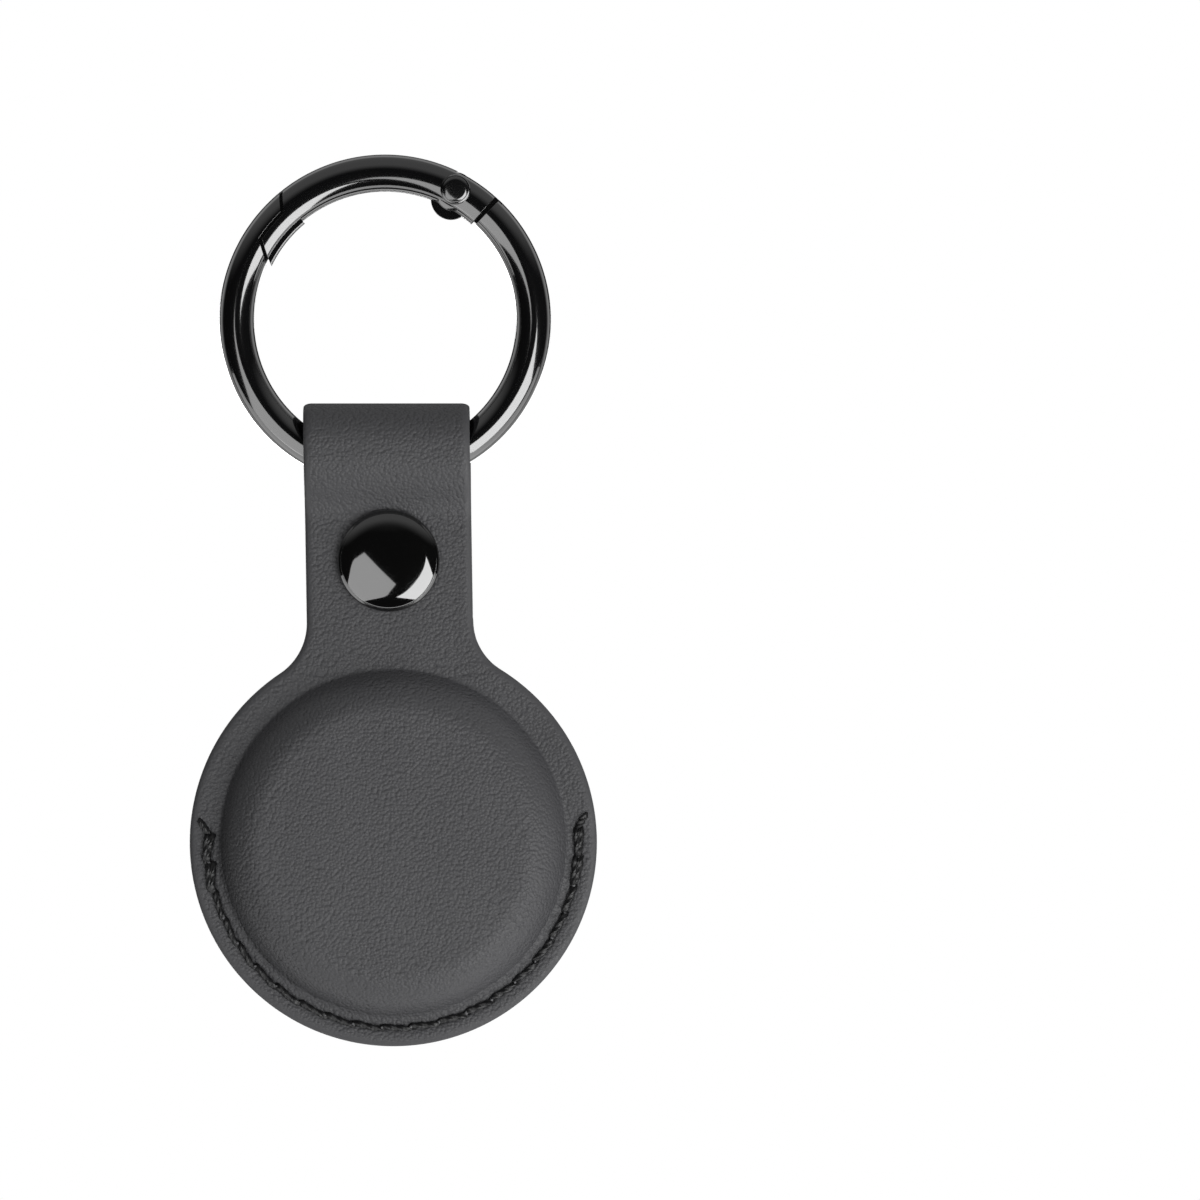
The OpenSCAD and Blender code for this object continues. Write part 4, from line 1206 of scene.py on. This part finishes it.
PLUNGER_LONG, PLUNGER_PLAY, SPRING_SEAT = 2.4, 0.03, 0.08
COIL_R, COIL_WIRE_R, COIL_PITCH = 0.5, 0.1, 0.75
spring_r = (lip_r + CHANNEL_FLOOR) / 2
plunger_angle = hinge_angle + 14.3
lobe_height = float(np.dot(lobe, polar(1, plunger_angle + 90)))
plunger_end = lobe_height + LOBE_R + PLUNGER_PLAY + PLUNGER_LONG
seat = SPRING_SEAT + COIL_WIRE_R
spring_from = plunger_angle + math.degrees(math.atan((plunger_end + seat) / spring_r))
spring_to = nose_angle - math.degrees(seat / spring_r)
spring_turns = int(math.radians(spring_to - spring_from) * spring_r / COIL_PITCH)
gate_spring = grown("gate_spring_coil", coil_tree, {
    "Turns": spring_turns, "Points a turn": 20, "Bend radius": spring_r, "Coil radius": COIL_R,
    "Wire radius": COIL_WIRE_R, "From angle": spring_from,
    "Through angle": spring_to - spring_from})
print(spring_turns, "turns from", round(spring_from, 1), "to", round(spring_to, 1), "degrees")

# %% [markdown]
# The seam is a lockstitch. On the back the twisted thread lies on the leather between two holes
# and is pulled down into each hole, which presses a pit; the pit's darkness is painted shadow
# in the leather's colour. On the front the other thread runs almost straight, in slanted segments,
# with a small knot of the back's thread at each hole. Both ends of the seam are sewn over twice,
# as every sewing machine does to lock them. The tree finds for every point how far it is through
# its stitch, and works out its place from that.

# %% The path and the strand of a stitch
STRAND_SIDES, PLIES = 15, 3
seam_tree, given = new_tree("lockstitch", {
    "Stitches": STITCHES, "Points a stitch": 24, "Seam radius": 18.5, "Middle": 0.0, "Face": 1.45,
    "Side": 1.0, "First angle": 0.0, "Stitch angle": 9.0, "Sink": -0.5, "Rise": 0.1, "Ramp": 0.2,
    "Slant": 0.0, "Offset": 0.0, "Thickness": 0.3, "Twist": 0.5, "Finish": back_thread})
index = seam_tree.nodes.new("GeometryNodeInputIndex")
step = add(seam_tree, "ShaderNodeMath", index, given["Points a stitch"], operation="DIVIDE")

# Up and down: sunk in the holes, risen between them
from_hole = add(seam_tree, "ShaderNodeMath", step, 0.5, operation="PINGPONG")
bow = add(seam_tree, "ShaderNodeMapRange", {
    "Value": from_hole, "From Min": 0.0, "From Max": given["Ramp"],
    "To Min": given["Sink"], "To Max": given["Rise"]}, interpolation_type="SMOOTHSTEP")
height = add(seam_tree, "ShaderNodeMath", given["Face"], bow, operation="ADD")
depth = add(seam_tree, "ShaderNodeMath", given["Side"], height, operation="MULTIPLY")

# In and out: slanted within each stitch, and a little unsteady. The very last point still
# belongs to the last stitch
end = add(seam_tree, "ShaderNodeMath", given["Stitches"], 0.001, operation="SUBTRACT")
within = add(seam_tree, "ShaderNodeMath", step, end, operation="MINIMUM")
phase = add(seam_tree, "ShaderNodeMath", within, operation="FRACT")
from_middle = add(seam_tree, "ShaderNodeMath", 0.5, phase, operation="SUBTRACT")
noise = add(seam_tree, "ShaderNodeTexNoise", {
    "W": step, "Scale": 1.7, "Detail": 1.0}, noise_dimensions="1D")
either_way = add(seam_tree, "ShaderNodeMath", noise, 0.5, operation="SUBTRACT")
waver = add(seam_tree, "ShaderNodeMath", either_way, 0.1, operation="MULTIPLY")
lean = add(seam_tree, "ShaderNodeMath", from_middle, given["Slant"], waver,
           operation="MULTIPLY_ADD")
line_r = add(seam_tree, "ShaderNodeMath", given["Seam radius"], given["Offset"], operation="ADD")
radius = add(seam_tree, "ShaderNodeMath", line_r, lean, operation="ADD")

# Along the seam
gone = add(seam_tree, "ShaderNodeMath", step, given["Stitch angle"], operation="MULTIPLY")
swing = add(seam_tree, "ShaderNodeMath", given["First angle"], gone, operation="SUBTRACT")
place = round_the_ring(seam_tree, radius, swing, depth, given["Middle"])
spans = add(seam_tree, "ShaderNodeMath", given["Stitches"], given["Points a stitch"],
            operation="MULTIPLY")
path = line_of_points(seam_tree, spans, place)

# Three plies: a lobed section that turns as it goes along
turn = add(seam_tree, "ShaderNodeMath", index, given["Twist"], operation="MULTIPLY")
laid = add(seam_tree, "GeometryNodeSetCurveTilt", {"Curve": path, "Tilt": turn})
half = add(seam_tree, "ShaderNodeMath", given["Thickness"], 2.0, operation="DIVIDE")
strand = add(seam_tree, "GeometryNodeCurvePrimitiveCircle", {
    "Resolution": STRAND_SIDES, "Radius": half})
ply_angle = add(seam_tree, "ShaderNodeMath", index, PLIES * math.tau / STRAND_SIDES,
                operation="MULTIPLY")
ply_share = add(seam_tree, "ShaderNodeMath", ply_angle, operation="COSINE")
lobes = add(seam_tree, "ShaderNodeMath", ply_share, 0.17, 0.95, operation="MULTIPLY_ADD")
corner = seam_tree.nodes.new("GeometryNodeInputPosition")
moved = add(seam_tree, "ShaderNodeVectorMath", {0: corner, "Scale": lobes}, operation="SCALE")
plied = add(seam_tree, "GeometryNodeSetPosition", {"Geometry": strand, "Position": moved})
close_tube(seam_tree, laid, plied, given["Finish"])
print("lockstitch:", len(seam_tree.nodes), "nodes")

# %% [markdown]
# A thread is sewn in runs: one along the whole seam, and short ones over both of its ends, which
# lie beside it and above it. One tree makes them all, so a run is a line of numbers that change
# the thread's own values, and the finished runs are joined into one piece.

# %% Sew the seam
def sew(name, values, runs):
    """One thread: its whole run, and the short runs that lock its ends, as one piece. A run has
    its first hole, its stitches, and its offset, lift, slant and share of a stitch's length."""
    parts = []
    for first, count, offset, lift, slant, length in runs:
        parts.append(grown(name, seam_tree, {
            **values, "Stitches": count, "Offset": offset, "Rise": values["Rise"] + lift,
            "Slant": values["Slant"] + slant, "Stitch angle": values["Stitch angle"] * length,
            "First angle": float(seam_end - stitch_angle * first)}))
    shape = bmesh.new()
    for part in parts:
        shape.from_mesh(part.data)
    shape.to_mesh(parts[0].data)
    shape.free()
    for part in parts[1:]:
        bpy.data.objects.remove(part)
    parts[0].data.shade_smooth()
    print(name, len(parts[0].data.polygons), "faces")
    return parts[0]


common = {"Seam radius": float(seam_r), "Middle": float(body_z), "Face": float(face_y - PRESSED),
          "Stitch angle": float(stitch_angle), "Points a stitch": 24}
locked = [(0, STITCHES, 0.0, 0.0, 0.0, 1.0), (0, 1, 0.16, 0.04, 0.0, 1.0),
          (STITCHES - 1, 1, 0.16, 0.04, 0.0, 1.0)]
# On the front the ends are sewn over twice, and the tails slant out to the edge
tails = [(0, 2, 0.2, 0.05, 0.0, 1.0), (0, 2, -0.14, 0.08, -0.5, 1.0),
         (0, 1, 0.5, 0.06, -1.3, -0.45), (0, 1, 0.35, 0.09, -1.2, -0.4),
         (STITCHES - 2, 2, 0.2, 0.05, 0.0, 1.0), (STITCHES - 2, 2, -0.14, 0.08, 0.5, 1.0),
         (STITCHES, 1, 0.5, 0.06, -1.3, 0.45), (STITCHES, 1, 0.35, 0.09, -1.2, 0.4)]
back_seam = sew("back_seam_thread", {
    **common, "Side": 1.0, "Sink": -0.62, "Rise": 0.06, "Ramp": 0.24, "Slant": 0.1,
    "Thickness": 0.34, "Twist": 0.42, "Finish": back_thread}, locked)
front_seam = sew("front_seam_thread", {
    **common, "Side": -1.0, "Sink": -0.14, "Rise": 0.12, "Ramp": 0.16, "Slant": 0.3,
    "Thickness": 0.58, "Twist": 0.22, "Finish": front_thread}, locked[:1] + tails)
back_seam.data.name, front_seam.data.name = back_seam.name, front_seam.name

# %% [markdown]
# At each hole on the front a loop of the back's thread just shows, as a light knot. The knots are
# one small shape repeated, so the tree sets an instance on every hole and makes them real. Each
# gets its own size at random, from a fixed seed.

# %% Knots of the back's thread on the front
KNOT_RISE, KNOT_R, KNOT_LEAN = 0.12, 0.16, 0.9
knot_tree, given = new_tree("thread_knots", {
    "Stitches": STITCHES, "Seam radius": 18.5, "Middle": 0.0, "Depth": 1.45, "First angle": 0.0,
    "Stitch angle": 9.0, "Size": 0.2, "Finish": back_thread})
index = knot_tree.nodes.new("GeometryNodeInputIndex")
gone = add(knot_tree, "ShaderNodeMath", index, given["Stitch angle"], operation="MULTIPLY")
swing = add(knot_tree, "ShaderNodeMath", given["First angle"], gone, operation="SUBTRACT")
depth = add(knot_tree, "ShaderNodeMath", given["Depth"], -1.0, operation="MULTIPLY")
place = round_the_ring(knot_tree, given["Seam radius"], swing, depth, given["Middle"])
spots = add(knot_tree, "GeometryNodeCurveToPoints",
            line_of_points(knot_tree, given["Stitches"], place), mode="EVALUATED")
bead = add(knot_tree, "GeometryNodeMeshUVSphere", {
    "Segments": 12, "Rings": 8, "Radius": given["Size"]})
turn = add(knot_tree, "ShaderNodeMath", swing, operation="RADIANS")
tilt = add(knot_tree, "ShaderNodeMath", KNOT_LEAN, turn, operation="SUBTRACT")
lean = add(knot_tree, "ShaderNodeCombineXYZ", {"Y": tilt})
random = add(knot_tree, "FunctionNodeRandomValue", {
    2: 0.55, 3: 1.2, "Seed": 4}, data_type="FLOAT").outputs[1]
flat = add(knot_tree, "ShaderNodeMath", random, 0.7, operation="MULTIPLY")
size = add(knot_tree, "ShaderNodeCombineXYZ", 1.5, flat, random)
beads = add(knot_tree, "GeometryNodeInstanceOnPoints", {
    "Points": spots, "Instance": bead, "Rotation": lean, "Scale": size})
close_tree(knot_tree, beads, given["Finish"])
knots = grown("front_seam_knots", knot_tree, {
    "Stitches": STITCHES, "Seam radius": float(seam_r), "Middle": float(body_z),
    "Depth": float(face_y - PRESSED + KNOT_RISE), "First angle": float(seam_end),
    "Stitch angle": float(stitch_angle), "Size": KNOT_R, "Finish": knot_thread})
print(len(knots.data.polygons), "faces of knots")

# %% [markdown]
# Every rigid piece is now tied to the body that carries it, and the nodes of the model that it
# stands for are hidden. The back sheet crosses the flap's fold line, and the gate's spring lies
# between the gate and the plunger; these two are not tied to any body and stay where they were
# made.
# The small inner parts that the model already shapes well only get their finish.

# %% Tie the pieces to the moving bodies
FLAP_BEND = 3
carried = [
    (front_skin, "holder", ["front_panel"], "leather_outer"),
    (front_inside, "holder", ["front_lining"], "leather_lining"),
    (back_seam, "holder", ["needle_thread"], "sewing_thread"),
    (knots, "holder", [], "sewing_thread"),
    (front_seam, "holder", ["bobbin_thread"], "sewing_thread"),
    (front_cap, "holder", ["front_cap"], "cap_black"),
    (socket, "holder", ["snap_socket"], "snap_dark"),
    (back_cap, "flap", ["back_cap"], "cap_black"),
    (stud, "flap", ["snap_stud"], "snap_dark"),
    (ring_piece, "ring", ["ring_frame"], "ring_black"),
    (gate_piece, "gate", ["ring_gate"], "ring_black"),
    (rivet, "gate", ["hinge_rivet"], "rivet_dark")]
for piece, body, nodes, slot in carried:
    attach(piece, body)
    if nodes:
        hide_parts(*nodes)
fold_from = (0, 0, (flap_z - FLAP_BEND) * MM)
fold_to = (0, 0, (flap_z + FLAP_BEND) * MM)
spring_fixed = polar(spring_r * MM, spring_to)
spring_free = polar(spring_r * MM, spring_from)
bent = [
    (back_skin, ["back_panel", "back_flap"], "leather_outer", "holder", "flap", fold_from, fold_to),
    (back_inside, ["back_lining", "back_flap_lining"], "leather_lining", "holder", "flap",
     fold_from, fold_to),
    (gate_spring, ["gate_spring"], "spring_steel", "gate", "plunger",
     (spring_fixed[0], 0, spring_fixed[1]), (spring_free[0], 0, spring_free[1]))]
for piece, nodes, slot, still, moving, start, end in bent:
    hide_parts(*nodes)
    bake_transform(piece)
for node, finish in (("gate_plunger", spring_wire), ("socket_spring", spring_wire),
                     ("front_cap_post", post_steel), ("back_cap_post", post_steel)):
    for place in frame["nodes"][node].material_slots:
        place.material = finish
print(len(carried) + len(bent), "pieces carried")

# %% [markdown]
# The studio is a pale floor, a room that is white to the eye, and soft boxes. The floor glows for
# the eye and for reflections alone, so it looks white in both and doesn't light the matte leather
# from below.

# %% Floor
FLOOR_Z, FLOOR_HALF_X, FLOOR_HALF_Y, FLOOR_GLOW = -0.6, 2, 0.3, 0.8


def seen_white(tree, shaded, strength):
    """White to the eye and in gloss, and shaded for every other ray."""
    ray = add(tree, "ShaderNodeLightPath").outputs
    eye = add(tree, "ShaderNodeMath", ray["Is Camera Ray"], ray["Is Glossy Ray"],
              operation="MAXIMUM")
    seen = add(tree, "ShaderNodeMath", eye, ray["Is Transmission Ray"], operation="MAXIMUM")
    glow = add(tree, "ShaderNodeMath", seen, strength, operation="MULTIPLY")
    white = add(tree, "ShaderNodeEmission", {"Strength": glow})
    return add(tree, "ShaderNodeAddShader", shaded, white)


floor_mesh = bpy.data.meshes.new("studio_floor")
floor_corners = [(x * FLOOR_HALF_X, y * FLOOR_HALF_Y, FLOOR_Z)
                 for x, y in ((-1, -1), (1, -1), (1, 1), (-1, 1))]
floor_mesh.from_pydata(floor_corners, [], [(0, 1, 2, 3)])
floor = placed("studio_floor", floor_mesh)
floor_finish, tree, shader = blank("pale_floor", 0.9, 0.1)
feed(tree, shader, {"Base Color": linear("#d9d9d9")})
feed(tree, tree.nodes["Material Output"], {"Surface": seen_white(tree, shader, FLOOR_GLOW)})
floor_mesh.materials.append(floor_finish)
print("floor", floor_finish.name)

# %% [markdown]
# The world is white to the eye alone. What the gloss reflects is a room that is dark in front of
# the object, so that its mirrors stay black, and paler behind and above it. What lights the
# leather grows from the lower left to the upper right, as the photographed light does.

# %% The room around the object
world = bpy.data.worlds.new("studio")
bpy.context.scene.world = world
world.use_nodes = True
tree = world.node_tree
tree.nodes.clear()
ray = add(tree, "ShaderNodeLightPath").outputs
heading = add(tree, "ShaderNodeSeparateXYZ", add(tree, "ShaderNodeTexCoord").outputs["Generated"])
heading = heading.outputs
rightward = add(tree, "ShaderNodeMath", heading["Z"], 0.65, operation="MULTIPLY")
slant = add(tree, "ShaderNodeMath", heading["X"], 0.85, rightward, operation="MULTIPLY_ADD")
behind, straight, above, soft = (
    add(tree, "ShaderNodeMapRange", {
        "Value": value, "From Min": low, "From Max": high, "To Min": start, "To Max": end},
        interpolation_type="SMOOTHSTEP")
    for value, low, high, start, end in (
        (heading["Y"], 0.1, 0.45, 0.015, 0.65), (heading["Y"], 0.6, 0.8, 1.0, 0.02),
        (heading["Z"], 0.2, 0.7, 0.0, 0.3), (slant, -0.5, 0.9, 0.16, 0.9)))
room = add(tree, "ShaderNodeMath", behind, straight, operation="MULTIPLY")
room = add(tree, "ShaderNodeMath", room, above, operation="MAXIMUM")
gloss = add(tree, "ShaderNodeMath", ray["Is Glossy Ray"], ray["Is Transmission Ray"],
            operation="MAXIMUM")
fill = add(tree, "ShaderNodeMix", {0: gloss, 2: soft, 3: room}, data_type="FLOAT")
level = add(tree, "ShaderNodeMath", ray["Is Camera Ray"], fill, operation="MAXIMUM")
sky = add(tree, "ShaderNodeBackground", {"Color": (1, 1, 1, 1), "Strength": level})
add(tree, "ShaderNodeOutputWorld", {"Surface": sky})
print("world:", len(tree.nodes), "nodes")

# %% [markdown]
# On a round black wire a soft box shows as a streak where the wire's side faces half way between
# the box and the eye, so each box is placed by the streak that it has to make: by its direction
# round the ring, and by how far it stands off the line of sight.

# %% Soft boxes
BOX_FAR = 0.65
BACK_TURN = 25


def soft_box(name, azimuth, off_axis, width, height, radiance, lights_matte=True):
    """An area lamp placed by its direction from the ring. Its sizes are in metres. One that
    doesn't light matte surfaces is only there to be reflected."""
    a, g = math.radians(azimuth), math.radians(off_axis)
    sideways = Vector((-math.sin(a), 0, math.cos(a)))
    toward = Vector((math.sin(g) * math.cos(a), -math.cos(g), math.sin(g) * math.sin(a)))
    outward_axis = Vector((math.cos(g) * math.cos(a), math.sin(g), math.cos(g) * math.sin(a)))
    lamp = bpy.data.lights.new(name, "AREA")
    lamp.shape = "RECTANGLE"
    lamp.size, lamp.size_y = height, width
    lamp.energy = radiance * math.pi * lamp.size * lamp.size_y
    box = placed(name, lamp)
    turn = Matrix((-sideways, outward_axis, toward)).transposed().to_4x4()
    box.matrix_world = Matrix.Translation(toward * BOX_FAR) @ turn
    box.visible_camera = False
    box.visible_diffuse = lights_matte


soft_box("soft_box_right", -40, 43.4, 0.6, 0.41, 4.8)
soft_box("soft_box_left", 224, 40.5, 0.83, 0.33, 1.9, lights_matte=False)
soft_box("soft_box_back_right", 220, 180 - BACK_TURN, 0.28, 0.41, 5.5)
soft_box("soft_box_back_left", -44, 180 - BACK_TURN, 0.36, 0.33, 2.2)
print("lamps:", len(bpy.data.lights))

# %% [markdown]
# The photograph was taken from far away and very slightly tilted, so the camera has a long lens
# and leans by the same angle.

# %% Camera
CAMERA_LEAN, CAMERA_LENS, SENSOR = 0.92, 360, 36
CAMERA_AT = (21.04, -1200, -28.29)
lean = math.radians(CAMERA_LEAN)
camera = placed("camera", bpy.data.cameras.new("camera"))
camera.data.lens, camera.data.sensor_width = CAMERA_LENS, SENSOR
rightward = Vector((math.cos(lean), 0, -math.sin(lean)))
upward = Vector((math.sin(lean), 0, math.cos(lean)))
view = Matrix((rightward, upward, Vector((0, -1, 0)))).transposed().to_4x4()
camera.matrix_world = Matrix.Translation(Vector(CAMERA_AT) * MM) @ view
bpy.context.scene.camera = camera
bpy.context.scene.view_settings.view_transform = "Standard"
print("camera", -CAMERA_AT[1], "mm away, lens", CAMERA_LENS, "mm")
